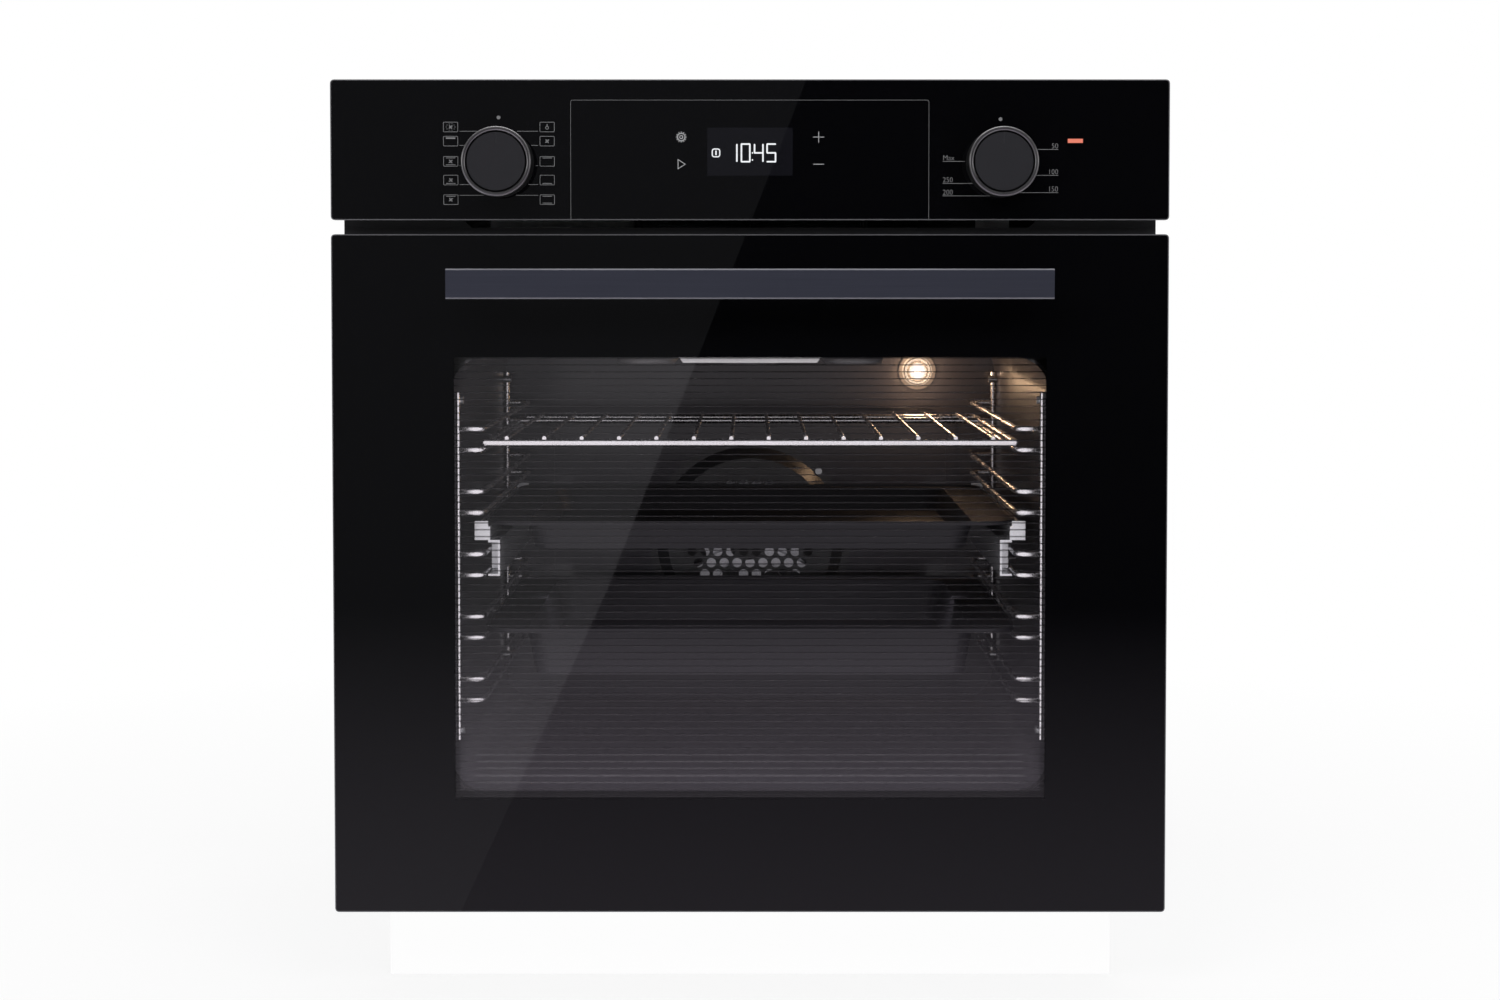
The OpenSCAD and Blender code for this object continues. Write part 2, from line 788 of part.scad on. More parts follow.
module runners() {
    x0 = rail_x1 - rail_w - rail_play - runner_t;
    x1 = rail_x1 - rail_play - 0.6;
    xc = rail_x1 + carrier_out;
    z0 = rail_z0;
    z1 = rail_z0 + runner_h;
    zc = z1 + carrier_h;
    color("#b4b8bc") both_sides() union() {
        sheet_profile_y(runner_y0, runner_y0 + shelf_d + 10) polygon([
            [x0, z0], [x1, z0], [x1, z0 + runner_t], [x0 + runner_t, z0 + runner_t],
            [x0 + runner_t, z1 - runner_t], [x1, z1 - runner_t], [x1, zc - runner_t],
            [xc - runner_t, zc - runner_t], [xc - runner_t, z1], [xc, z1], [xc, zc],
            [x1 - runner_t, zc], [x1 - runner_t, z1], [x0, z1]
        ]);
        block(x1, xc, runner_y0, runner_y0 + runner_t, z1, zc + 4);
        block(x1, xc, runner_y0 + shelf_d + 10 - runner_t, runner_y0 + shelf_d + 10, z1, zc + 4);
    }
}

// An extrusion along Y whose child lies in the X-Z plane.
module sheet_profile_y(y0, y1) {
    sheet_xz(y0, y1) children();
}

// ---- Shelf and trays ----------------------------------------------------------

shelf_half = x_wire;
y_shelf = y_up0 + 9;

module wire_shelf() {
    r = shelf_wire_d / 2;
    cr = cross_wire_d / 2;
    z = level_z(shelf_level) + wire_r + touch_gap + r;
    z_cross = z + r + cr - 0.7;
    step = 2 * (shelf_half - r - 14) / (cross_count - 1);
    y_end = y_shelf + shelf_d;
    color("#d4d6d9") union() {
        both_sides() rod_y(y_shelf, y_end, shelf_half, z, r);
        for (y = [y_shelf, y_shelf + shelf_d - 48, y_end])
            rod_x(-shelf_half, shelf_half, y, z, r);
        both_sides() for (y = [y_shelf, y_end]) translate([shelf_half, y, z]) sphere(r = r);
        for (i = [0:cross_count - 1])
            rod_y(y_shelf, y_end - 2, -(cross_count - 1) * step / 2 + i * step, z_cross, cr);
    }
}

basin_taper = 6;
basin_corner = 18;
flange_corner = 26;

module basin(grow, top, bottom, y0, z_top) {
    d = shelf_d - 2 * (tray_half() - basin_w / 2) * 0.42;
    yc = y0 + shelf_d / 2;
    hull() {
        translate([0, yc, z_top - 0.01]) linear_extrude(height = 0.01 + top)
            offset(r = basin_corner, $fn = 32) square(
                [basin_w - 2 * basin_corner + 2 * grow, d - 2 * basin_corner + 2 * grow],
                center = true);
        translate([0, yc, bottom]) linear_extrude(height = 0.01)
            offset(r = basin_corner - 4, $fn = 32) square(
                [basin_w - 2 * basin_corner - 2 * basin_taper + 8 + 2 * grow,
                 d - 2 * basin_corner - 2 * basin_taper + 8 + 2 * grow], center = true);
    }
}

function tray_half() = x_wire + wire_r;

// A pressed tray: flange with a raised rim, and a basin with leaning walls.
module tray(y0, z_flange, depth) {
    yc = y0 + shelf_d / 2;
    w = 2 * tray_half();
    z_rim = z_flange + tray_t + rim_h;
    difference() {
        union() {
            difference() {
                translate([0, yc, z_flange]) linear_extrude(height = tray_t + rim_h)
                    rounded(w, shelf_d, flange_corner);
                translate([0, yc, z_flange + tray_t]) linear_extrude(height = rim_h + 1)
                    rounded(w - 2 * tray_t, shelf_d - 2 * tray_t, flange_corner - tray_t);
            }
            basin(tray_t, 0, z_rim - depth, y0, z_flange + tray_t / 2);
        }
        basin(0, tray_t + 1, z_rim - depth + tray_t, y0, z_flange);
    }
}

module baking_tray() {
    z = rail_z0 + runner_h + carrier_h + touch_gap;
    color("#2f3034") tray(runner_y0 + 5, z, tray_h);
}

module deep_pan() {
    z = level_z(pan_level) + wire_r + touch_gap;
    color("#2f3034") tray(y_shelf, z, pan_h);
}

// ---- Cooling air ----------------------------------------------------------------

duct_t = 1;
z_duct0 = z_panel0 - vent_drop - 8;
z_duct1 = z_panel0 + 12;
blower_back = 250;
blower_y = y_cav0 + blower_back;
blower_wall = 1.5;
blower_r = blower_d / 2;
scroll_r = blower_r + 7;
z_blower = z_duct0 + duct_t + scroll_r + blower_wall;

// Two strips closed by a slanted cheek at either end of the air gap.
module vent_trim() {
    z0 = z_panel0 - vent_drop;
    z1 = z_panel0 + 1;
    half = flange_w / 2;
    fit = 0.05;
    color("#1b1c1e") sheet_xz(y_trim, y_flange) {
        span(-half, half, z_door1 - 2, z0 - fit);
        span(-half, half, z1 + fit, z_panel0 + 8);
        for (s = [-1, 1]) polygon([
            [s * half, z0 + fit], [s * (vent_half - vent_slant), z0 + fit],
            [s * vent_half, z1 - fit], [s * half, z1 - fit]
        ]);
    }
}

module air_duct() {
    y1 = blower_y - scroll_r - blower_wall;
    side = half_body - sheet_t;
    color("#a9acb0") union() {
        block(-side, side, y_cav0, blower_y + scroll_r + 20, z_duct0, z_duct0 + duct_t);
        both_sides() block(side - duct_t, side, y_cav0, blower_y + scroll_r + 20,
                           z_duct0, z_duct0 + lip);
        both_sides() block(vent_half + 4, vent_half + 4 + duct_t, y_cav0, y1,
                           z_duct0, z_duct1);
        block(-vent_half - 5, vent_half + 5, y_cav0, y1, z_duct1 - duct_t, z_duct1);
    }
}

module blower_housing() {
    half = blower_w / 2 + 4;
    w = blower_wall;
    throat = z_duct1 - z_duct0 - duct_t;
    z0 = z_duct0 + duct_t;
    color("#8a8d91") difference() {
        union() {
            rod_x(-half - w, half + w, blower_y, z_blower, scroll_r + w);
            block(-half - w, half + w, blower_y - scroll_r - w, blower_y, z0, z0 + throat);
        }
        rod_x(-half, half, blower_y, z_blower, scroll_r);
        block(-half, half, blower_y - scroll_r - w - 1, blower_y, z0 + w, z0 + throat - w);
        block(-half, half, blower_y + 8, blower_y + scroll_r + w + 1,
              z_blower - 6, z_blower + scroll_r + w + 1);
        rod_x(-half - w - 1, half + w + 1, blower_y, z_blower, shaft_d / 2 + run_gap);
    }
}

wheel_blades = 20;
blower_shaft = 30;

module blower_wheel() {
    half = blower_w / 2;
    color("#c4c7ca") translate([-half, blower_y, z_blower]) rotate([0, 90, 0]) union() {
        for (x = [0, half - 0.5, 2 * half - 1]) translate([0, 0, x])
            cylinder(r = blower_r, h = 1);
        for (i = [0:wheel_blades - 1]) rotate([0, 0, i * 360 / wheel_blades])
            translate([blower_r - 8, -0.4, 0]) cube([7.5, 0.8, 2 * half]);
        translate([0, 0, -blower_wall - 4]) cylinder(d = shaft_d, h = 2 * half + blower_shaft);
    }
}

module blower_motor() {
    blower_motor_len = blower_shaft + 12;
    x0 = blower_w / 2 + 4 + blower_wall;
    color("#6f7276") difference() {
        rod_x(x0, x0 + blower_motor_len, blower_y, z_blower, 24);
        rod_x(x0 - 1, x0 + blower_shaft, blower_y, z_blower, shaft_d / 2 + run_gap);
    }
}

// ---- Control panel ----------------------------------------------------------------

hole_r = shaft_d / 2 + 3;
web_t = 2;
y_web = y_glass_back + web_t;
switch_w = 38;
switch_d = 24;
bush_r = hole_r - 0.5;

module control_glass() {
    z_mid = (z_panel0 + z_panel1) / 2;
    color("#050506") sheet_xz(y_glass, y_glass_back) difference() {
        translate([0, z_mid]) rounded(front_w, panel_h, glass_r);
        for (sx = [-1, 1]) translate([sx * knob_x, z_knob]) circle(r = hole_r);
        translate([pilot_x, z_pilot]) square([pilot_w, pilot_h], center = true);
    }
}

module panel_housing() {
    half = front_w / 2 - 1;
    z0 = z_panel0 + 0.5;
    z1 = z_panel1 - 0.5;
    color("#141517") difference() {
        block(-half, half, y_glass_back, y_trim, z0, z1);
        block(-half + 2, half - 2, y_web, y_trim + 1, z0 + 2, z1 - 2);
        sheet_xz(y_glass_back - 1, y_web + 1) {
            for (sx = [-1, 1]) translate([sx * knob_x, z_knob]) circle(r = hole_r);
            translate([0, z_display]) square([display_w, display_h], center = true);
            translate([pilot_x, z_pilot]) square([pilot_w, pilot_h], center = true);
        }
    }
}

module display_module() {
    color("#1d1f24") union() {
        block(-display_w / 2, display_w / 2, y_glass_back, y_web + 1,
              z_display - display_h / 2, z_display + display_h / 2);
        block(-display_w / 2 - 20, display_w / 2 + 20, y_web, y_web + 9,
              z_display - display_h / 2 - 4, z_display + display_h / 2 + 4);
    }
}

module pilot_lens() {
    color("#ff5a36") union() {
        block(pilot_x - pilot_w / 2, pilot_x + pilot_w / 2, y_glass - 0.2, y_web + 1,
              z_pilot - pilot_h / 2, z_pilot + pilot_h / 2);
        block(pilot_x - pilot_w / 2 - 2, pilot_x + pilot_w / 2 + 2, y_web, y_web + 10,
              z_pilot - pilot_h / 2 - 2, z_pilot + pilot_h / 2 + 2);
    }
}

module rotary_switch(x, w) {
    color("#3c4c5a") difference() {
        union() {
            block(x - w / 2, x + w / 2, y_web, y_web + switch_d, z_knob - w / 2, z_knob + w / 2);
            rod_y(y_glass_back, y_web + 1, x, z_knob, bush_r);
        }
        rod_y(y_glass, y_web + 12, x, z_knob, shaft_d / 2 + run_gap);
    }
}

module selector_switch() {
    rotary_switch(-knob_x, switch_w);
}

module thermostat() {
    rotary_switch(knob_x, switch_w - 2);
}

knob_gap = 0.6;
seat_h = knob_h - knob_gap - cap_t;
bore_top = seat_h - 1.5;

module knob(x) {
    r = knob_d / 2;
    rim_in = r - knob_rim;
    inner = r - knob_wall;
    hub_r = shaft_d / 2 + 4;
    bead = knob_rim / 2;
    z_bead = knob_h - knob_gap - bead;
    color("#1a1b1d") turned(x, y_glass - knob_gap, z_knob, concat(
        [[shaft_d / 2, 2], [hub_r, 2], [hub_r, seat_h - knob_wall - 1],
         [inner, seat_h - knob_wall - 1], [inner, 0], [r, 0]],
        [for (a = [0:22.5:180]) [rim_in + bead + bead * cos(a), z_bead + bead * sin(a)]],
        [[rim_in, seat_h], [0, seat_h], [0, bore_top], [shaft_d / 2, bore_top]]
    ));
}

pointer_w = 0.9;
pointer_len = 7;
cap_gap = 0.9;

module knob_cap(x) {
    r = knob_d / 2 - knob_rim - cap_gap;
    y = y_glass - knob_gap - seat_h;
    color("#35373b") difference() {
        rod_y(y - cap_t + 0.5, y, x, z_knob, r);
        block(x - pointer_w / 2, x + pointer_w / 2, y - cap_t, y - cap_t + 0.9,
              z_knob + r - pointer_len - 1, z_knob + r - 1);
    }
}

module knob_shaft(x) {
    color("#b0b3b6") rod_y(y_glass - knob_gap - bore_top, y_web + 12 - touch_gap,
                           x, z_knob, shaft_d / 2);
}

module selector_knob() {
    knob(-knob_x);
}

module selector_cap() {
    knob_cap(-knob_x);
}

module selector_shaft() {
    knob_shaft(-knob_x);
}

module thermostat_knob() {
    knob(knob_x);
}

module thermostat_cap() {
    knob_cap(knob_x);
}

module thermostat_shaft() {
    knob_shaft(knob_x);
}

// ---- Door -------------------------------------------------------------------------

door_low = 10;
door_high = 6;
z_rail_top = z_pivot + door_low + profile_t;
z_top_rail = z_door1 - door_high - top_rail_h;
z_inner1 = z_top_rail - touch_gap;
y_inner = y_door_back - inner_glass_t;
col_x0 = hinge_x - 15;
col_x1 = hinge_x + 15;
col_edge = front_w / 2 - 6.5;
col_front = y_trim - 0.8;
y_mid_glass = y_glass_back + 11;
z_handle = z_door1 - handle_drop;
post_x = handle_w / 2 - post_inset;
stud_r = 2.5;

module door_glass() {
    color("#060607") sheet_xz(y_glass, y_glass_back) difference() {
        translate([0, (z_door0 + z_door1) / 2]) rounded(front_w, door_h, glass_r);
        for (sx = [-1, 1]) translate([sx * post_x, z_handle]) circle(r = stud_r + 0.5);
    }
}

module door_mid_glass() {
    color("#1c2022") block(-col_x0 + 0.5, col_x0 - 0.5, y_mid_glass, y_mid_glass + mid_glass_t,
                           z_rail_top, z_inner1);
}

module door_inner_glass() {
    color("#202426") sheet_xz(y_inner, y_door_back)
        translate([0, (z_rail_top + z_inner1) / 2])
            rounded(2 * (col_x0 + glass_bite), z_inner1 - z_rail_top, 4);
}

module door_column() {
    w = profile_t;
    z0 = z_pivot + door_low;
    z1 = z_door1 - door_high;
    color("#1a1b1d") translate([0, 0, z0]) linear_extrude(height = z1 - z0) difference() {
        polygon([
            [col_x0, y_glass_back], [col_edge, y_glass_back], [col_edge, col_front],
            [col_x1, col_front], [col_x1, y_inner], [col_x0, y_inner]
        ]);
        polygon([
            [col_x0 + w, y_glass_back + w], [col_edge - w, y_glass_back + w],
            [col_edge - w, col_front - w], [col_x1 - w, col_front - w],
            [col_x1 - w, y_inner - w], [col_x0 + w, y_inner - w]
        ]);
    }
}

module door_column_left() {
    mirror([1, 0, 0]) door_column();
}

module door_column_right() {
    door_column();
}

module door_top_rail() {
    w = profile_t;
    z1 = z_door1 - door_high;
    z0 = z_top_rail;
    color("#1f2022") difference() {
        sheet_yz(-col_x0, col_x0) polygon([
            [y_glass_back, z0], [y_glass_back + w, z0], [y_glass_back + w, z1 - w],
            [y_door_back - w, z1 - w], [y_door_back - w, z0], [y_door_back, z0],
            [y_door_back, z1], [y_glass_back, z1]
        ]);
        for (i = [-7:7])
            block(i * 28 - 9, i * 28 + 9, y_glass_back + 10, y_glass_back + 14,
                  z1 - w - 1, z1 + 1);
        for (sx = [-1, 1])
            rod_y(y_glass_back - 1, y_glass_back + w + 1, sx * post_x, z_handle, stud_r + 0.5);
    }
}

module door_bottom_rail() {
    w = profile_t;
    z0 = z_pivot + door_low;
    color("#1f2022") sheet_yz(-col_x0, col_x0) polygon([
        [y_glass_back, z0], [y_door_back, z0], [y_door_back, z0 + w],
        [y_glass_back + w, z0 + w], [y_glass_back + w, z0 + 12], [y_glass_back, z0 + 12]
    ]);
}

module handle_bar() {
    c = handle_chamfer;
    z0 = z_handle - handle_h / 2;
    z1 = z_handle + handle_h / 2;
    y1 = y_handle + handle_t;
    color("#23252c") sheet_yz(-handle_w / 2, handle_w / 2) polygon([
        [y_handle + c, z0], [y1, z0], [y1, z1], [y_handle + c, z1],
        [y_handle, z1 - c], [y_handle, z0 + c]
    ]);
}

module handle_posts() {
    y_head = y_glass_back + profile_t;
    color("#17181b") both_sides() union() {
        rod_y(y_handle + handle_t, y_glass, post_x, z_handle, post_d / 2);
        rod_y(y_glass - 1, y_head + 1, post_x, z_handle, stud_r);
        rod_y(y_head, y_head + 3, post_x, z_handle, stud_r + 3);
    }
}

pin_r = pin_d / 2;
case_half = 9;
case_t = 2;
ear_r = 9;
case_top = 130;
arm_half = 3;
arm_r = 7;
arm_half_h = 5;
arm_len = 38;

module hinge_cases() {
    color("#a3a6aa") both_sides() difference() {
        union() {
            for (x = [hinge_x - case_half, hinge_x + case_half - case_t]) {
                rod_x(x, x + case_t, y_pivot, z_pivot, ear_r);
                block(x, x + case_t, y_pivot - ear_r, y_inner - profile_t - 0.5,
                      z_pivot, z_pivot + case_top);
            }
            block(hinge_x - case_half, hinge_x + case_half, y_pivot - ear_r,
                  y_pivot - ear_r + case_t, z_pivot + 14, z_pivot + case_top);
        }
        rod_x(hinge_x - case_half - 1, hinge_x + case_half + 1, y_pivot, z_pivot,
              pin_r + run_gap);
    }
}

module hinge_pins() {
    color("#c2c5c8") both_sides()
        rod_x(hinge_x - case_half, hinge_x + case_half, y_pivot, z_pivot, pin_r);
}

module hinge_arms() {
    color("#8d9094") both_sides() difference() {
        union() {
            rod_x(hinge_x - arm_half, hinge_x + arm_half, y_pivot, z_pivot, arm_r);
            block(hinge_x - arm_half, hinge_x + arm_half, y_pivot, y_cav0 + arm_len,
                  z_pivot - arm_half_h, z_pivot + arm_half_h);
        }
        rod_x(hinge_x - arm_half - 1, hinge_x + arm_half + 1, y_pivot, z_pivot, pin_r);
        block(hinge_x - arm_half - 1, hinge_x + arm_half + 1, y_cav0 + 22, y_cav0 + 28,
              z_pivot - arm_half_h - 1, z_pivot - 1);
    }
}

module hinge_receivers() {
    w = 2;
    in = arm_half + 1;
    z0 = z_pivot - arm_half_h - w;
    color("#7d8084") both_sides() union() {
        for (x = [hinge_x - in - w, hinge_x + in])
            block(x, x + w, y_cav0, y_cav0 + arm_len + 6, z0, z_pivot + 9);
        block(hinge_x - in - w, hinge_x + in + w, y_cav0, y_cav0 + arm_len + 6, z0, z0 + w);
        rod_x(hinge_x - in - w / 2, hinge_x + in + w / 2, y_cav0 + 25, z_pivot - 3.5, 1.8);
    }
}

// ---- Fasteners -----------------------------------------------------------------------

screw_r = 3;
head_t = 1.5;
stud_len = 7;

module fasteners() {
    r_cover = cover_d / 2 + flange_ring - screw_r - 0.2;
    color("#c2c5c8") union() {
        for (a = [45, 165, 285])
            rod_y(y_cav1 - cover_t - head_t, y_cav1 - cover_t,
                  r_cover * cos(a), z_fan + r_cover * sin(a), screw_r);
        both_sides() for (i = [0:3])
            rod_y(y_rear, y_rear + head_t, half_body - lip,
                  vent_edge + i * (body_h - 2 * vent_edge) / 3, screw_r + 1);
        both_sides() for (y = [casing_y0 + vent_edge, y_rear - vent_edge])
            rod_z(body_h, body_h + head_t, half_body - 2 * lip, y, screw_r + 1);
        both_sides() for (z = [z_up0 + 6, z_up1 - 6]) {
            rod_x(half_cavity - stud_len, half_cavity, y_up0 + upright_r + screw_r, z, screw_r);
            rod_x(half_cavity - stud_len, half_cavity, y_up1 - upright_r - screw_r, z, screw_r);
        }
    }
}

// ---- Assembly ---------------------------------------------------------------------------

base_plate();
side_panel_left();
side_panel_right();
top_cover();
rear_panel();
front_frame();
cavity_tub();
cavity_roof();
cavity_back();
insulation();
mouth_seal();
fan_cover();
ring_heater();
grill_heater();
roof_bracket();
floor_heater();
lamp_lens();
lamp_socket();
lamp_bulb();
rack_uprights();
rack_wires();
rails();
vent_trim();
air_duct();
blower_housing();
blower_motor();
fan_motor();
control_glass();
panel_housing();
display_module();
selector_switch();
thermostat();
pilot_lens();
hinge_arms();
hinge_pins();
hinge_receivers();
terminal_box();
fasteners();
door_glass();
door_mid_glass();
door_inner_glass();
door_column_left();
door_column_right();
door_top_rail();
door_bottom_rail();
handle_bar();
handle_posts();
hinge_cases();
selector_knob();
selector_cap();
selector_shaft();
thermostat_knob();
thermostat_cap();
thermostat_shaft();
convection_fan();
blower_wheel();
wire_shelf();
runners();
baking_tray();
deep_pan();
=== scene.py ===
import logging
import math
from dataclasses import dataclass
from enum import Enum

import bmesh
import bpy
from mathutils import Matrix, Vector


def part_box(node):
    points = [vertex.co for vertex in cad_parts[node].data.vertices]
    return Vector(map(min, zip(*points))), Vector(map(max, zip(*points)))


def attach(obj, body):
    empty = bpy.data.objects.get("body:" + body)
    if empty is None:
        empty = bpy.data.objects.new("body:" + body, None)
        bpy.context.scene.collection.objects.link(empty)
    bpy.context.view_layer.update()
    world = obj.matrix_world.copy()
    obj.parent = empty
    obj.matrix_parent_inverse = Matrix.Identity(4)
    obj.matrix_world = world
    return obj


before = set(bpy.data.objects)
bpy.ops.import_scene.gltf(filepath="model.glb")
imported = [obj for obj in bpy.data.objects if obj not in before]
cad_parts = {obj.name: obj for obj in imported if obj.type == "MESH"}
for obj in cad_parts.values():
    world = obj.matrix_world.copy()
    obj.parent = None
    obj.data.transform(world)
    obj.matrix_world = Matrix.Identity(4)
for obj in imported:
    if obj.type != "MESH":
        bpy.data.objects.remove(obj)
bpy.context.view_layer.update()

LOG = logging.getLogger("wall_oven")
MM = 0.001
GLASS_IOR = 1.5
GROUND_EDGE = (0.30, 0.30, 0.32)
BLACK_PRINT = (0.0012, 0.0012, 0.0016)
WHITE = (1, 1, 1, 1)

Colour = tuple[float, float, float]
Point = tuple[float, float]
Place = tuple[float, float, float]
Field = tuple[float, float, float, float]
Marks = tuple[tuple[str, float, float], ...]


class Body(Enum):
    """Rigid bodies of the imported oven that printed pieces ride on."""

    OVEN = "oven_body"
    DOOR = "door"


# ---- Shader expressions ----


@dataclass(eq=False)
class Signal:
    """An output socket of a recipe, whose value varies over a surface, in plain arithmetic."""

    recipe: "Recipe"
    socket: bpy.types.NodeSocket

    def __add__(self, other: "Signal | float") -> "Signal":
        """Sum."""
        return self.recipe.math("ADD", self, other)

    def __radd__(self, other: float) -> "Signal":
        """Sum with a number on the left."""
        return self.recipe.math("ADD", other, self)

    def __sub__(self, other: "Signal | float") -> "Signal":
        """Difference."""
        return self.recipe.math("SUBTRACT", self, other)

    def __rsub__(self, other: float) -> "Signal":
        """Difference from a number on the left."""
        return self.recipe.math("SUBTRACT", other, self)

    def __mul__(self, other: "Signal | float") -> "Signal":
        """Product."""
        return self.recipe.math("MULTIPLY", self, other)

    def __rmul__(self, other: float) -> "Signal":
        """Product with a number on the left."""
        return self.recipe.math("MULTIPLY", other, self)

    def __truediv__(self, other: "Signal | float") -> "Signal":
        """Quotient."""
        return self.recipe.math("DIVIDE", self, other)

    def __pow__(self, other: float) -> "Signal":
        """Power."""
        return self.recipe.math("POWER", self, other)

    def __gt__(self, other: "Signal | float") -> "Signal":
        """1 where the value is greater, else 0."""
        return self.recipe.math("GREATER_THAN", self, other)

    def __lt__(self, other: "Signal | float") -> "Signal":
        """1 where the value is smaller, else 0."""
        return self.recipe.math("LESS_THAN", self, other)

    def __mod__(self, other: float) -> "Signal":
        """Remainder, never negative."""
        return self.recipe.math("FLOORED_MODULO", self, other)

    def size(self) -> "Signal":
        """Absolute value."""
        return self.recipe.math("ABSOLUTE", self)


class Recipe:
    """The node tree of one finish, or of the world."""

    def __init__(self, name: str, world: bool = False) -> None:
        """Makes an empty material or world.

        Args:
            name: its name.
            world: whether it is a world.
        """
        self.holder = (bpy.data.worlds if world else bpy.data.materials).new(name)
        self.holder.use_nodes = True
        self.nodes = self.holder.node_tree.nodes
        self.links = self.holder.node_tree.links
        self.nodes.clear()
        self.output = self.add("OutputWorld" if world else "OutputMaterial")

    def add(self, kind: str, settings: dict | None = None, sockets: dict | None = None) -> bpy.types.Node:
        """Adds a node.

        Args:
            kind: the node's type without its ShaderNode prefix.
            settings: properties of the node, which are set first.
            sockets: values or links of its input sockets, by name or number.

        Returns:
            The node.
        """
        node = self.nodes.new("ShaderNode" + kind)
        for key, value in (settings or {}).items():
            if key == "stops":
                self._set_stops(node, value)
            else:
                setattr(node, key, value)
        for key, value in (sockets or {}).items():
            if isinstance(value, Signal):
                self.links.new(value.socket, node.inputs[key])
            else:
                node.inputs[key].default_value = value
        return node

    def _set_stops(self, node: bpy.types.Node, stops: tuple[tuple[float, Colour], ...]) -> None:
        """Sets a colour ramp's stops.

        Args:
            node: the ramp's node.
            stops: the place of each stop, from 0 to 1, and its colour.
        """
        ramp = node.color_ramp
        while len(ramp.elements) < len(stops):
            ramp.elements.new(1.0)
        for element, (place, colour) in zip(ramp.elements, stops):
            element.position = place
            element.color = (*colour, 1.0)

    def signal(self, kind: str, settings: dict | None = None, sockets: dict | None = None,
               out: int | str = 0) -> Signal:
        """Adds a node and returns one of its outputs."""
        return Signal(self, self.add(kind, settings, sockets).outputs[out])

    def math(self, operation: str, first: Signal | float, second: Signal | float = 0.0) -> Signal:
        """Adds a Math node."""
        return self.signal("Math", {"operation": operation}, {0: first, 1: second})

    def length(self, across: Signal, up: Signal) -> Signal:
        """The length of two runs at a right angle."""
        return self.math("SQRT", across * across + up * up)

    def parts(self, vector: Signal) -> tuple[Signal, ...]:
        """A vector's X, Y and Z."""
        return tuple(Signal(self, socket) for socket in self.add("SeparateXYZ", None, {0: vector}).outputs)

    def coords(self) -> Signal:
        """Object coordinates: metres in the oven's frame."""
        return self.signal("TexCoord", out="Object")

    def place(self) -> tuple[Signal, ...]:
        """The surface's X, Y and Z in the oven's frame."""
        return self.parts(self.coords())

    def round_axis(self, axis: Vector) -> tuple[Signal, Signal, Signal]:
        """The surface's runs across and up from an axis along Y, and its distance from it."""
        x, _, z = self.place()
        return x - axis.x, z - axis.z, self.length(x - axis.x, z - axis.z)

    def rings(self, radius: Signal, pitch: float = 9000.0) -> Signal:
        """The fine rings of a spun face, from the distance to its axis."""
        return self.signal("TexNoise", {"noise_dimensions": "1D"}, {"W": radius * pitch, "Scale": 1.0})

    def within(self, field: Field) -> Signal:
        """1 inside a field, given by its left, right, lower and upper edge, else 0."""
        x, _, z = self.place()
        return (x > field[0]) * (x < field[1]) * (z > field[2]) * (z < field[3])

    def normal(self) -> tuple[Signal, ...]:
        """The X, Y and Z of the surface's direction."""
        return self.parts(self.signal("NewGeometry", out="Normal"))

    def turned_from_front(self) -> Signal:
        """1 where the surface is turned away from the front and the back, else 0."""
        return self.normal()[1].size() < 0.9

    def stretched(self, scale: Place) -> Signal:
        """Object coordinates, stretched by a factor along each axis."""
        return self.signal("Mapping", None, {"Vector": self.coords(), "Scale": scale})

    def noise(self, scale: float, detail: float = 3.0, vector: Signal | None = None) -> Signal:
        """A cloudy value from 0 to 1; without a vector it lies in the oven's frame."""
        sockets = {"Vector": vector or self.coords(), "Scale": scale, "Detail": detail}
        return self.signal("TexNoise", None, sockets)

    def blend(self, share: Signal | float, first: Colour | Signal, second: Colour | Signal) -> Signal:
        """Two colours mixed by the second one's share."""
        ends = [end if isinstance(end, Signal) else (*end, 1.0) for end in (first, second)]
        return self.signal("Mix", {"data_type": "RGBA"}, {0: share, 6: ends[0], 7: ends[1]}, out=2)

    def colours(self, operation: str, sockets: dict) -> Signal:
        """Adds a Vector Math node, which works on colours."""
        return self.signal("VectorMath", {"operation": operation}, sockets)

    def relief(self, height: Signal, strength: float, distance: float) -> Signal:
        """A bump from a height."""
        return self.signal("Bump", None, {"Height": height, "Strength": strength, "Distance": distance})

    def ray(self, kind: str) -> Signal:
        """1 for a ray of this kind, else 0."""
        return self.signal("LightPath", out=f"Is {kind} Ray")

    def principled(self, sockets: dict) -> Signal:
        """A principled surface with these sockets set."""
        return self.signal("BsdfPrincipled", None, sockets)

    def emission(self, colour: Signal | Field) -> Signal:
        """A surface that shines in a colour, whatever lights it."""
        return self.signal("Emission", None, {"Color": colour, "Strength": 1.0})

    def over(self, share: Signal, under: Signal, top: Signal) -> Signal:
        """One surface over another, by the top one's share."""
        return self.signal("MixShader", None, {0: share, 1: under, 2: top})

    def finish(self, surface: Signal) -> bpy.types.Material | bpy.types.World:
        """Puts the surface on the material or world and returns it."""
        self.links.new(surface.socket, self.output.inputs["Surface"])
        return self.holder

    def coat(self, sockets: dict) -> bpy.types.Material:
        """Puts a principled surface with these sockets set on the material and returns it."""
        return self.finish(self.principled(sockets))


# ---- Finishes ----


@dataclass(frozen=True)
class Finish:
    """What a node wears, by the name of its material."""

    name: str

    def material(self) -> bpy.types.Material:
        """Builds the material, in each finish's own way."""
        raise NotImplementedError


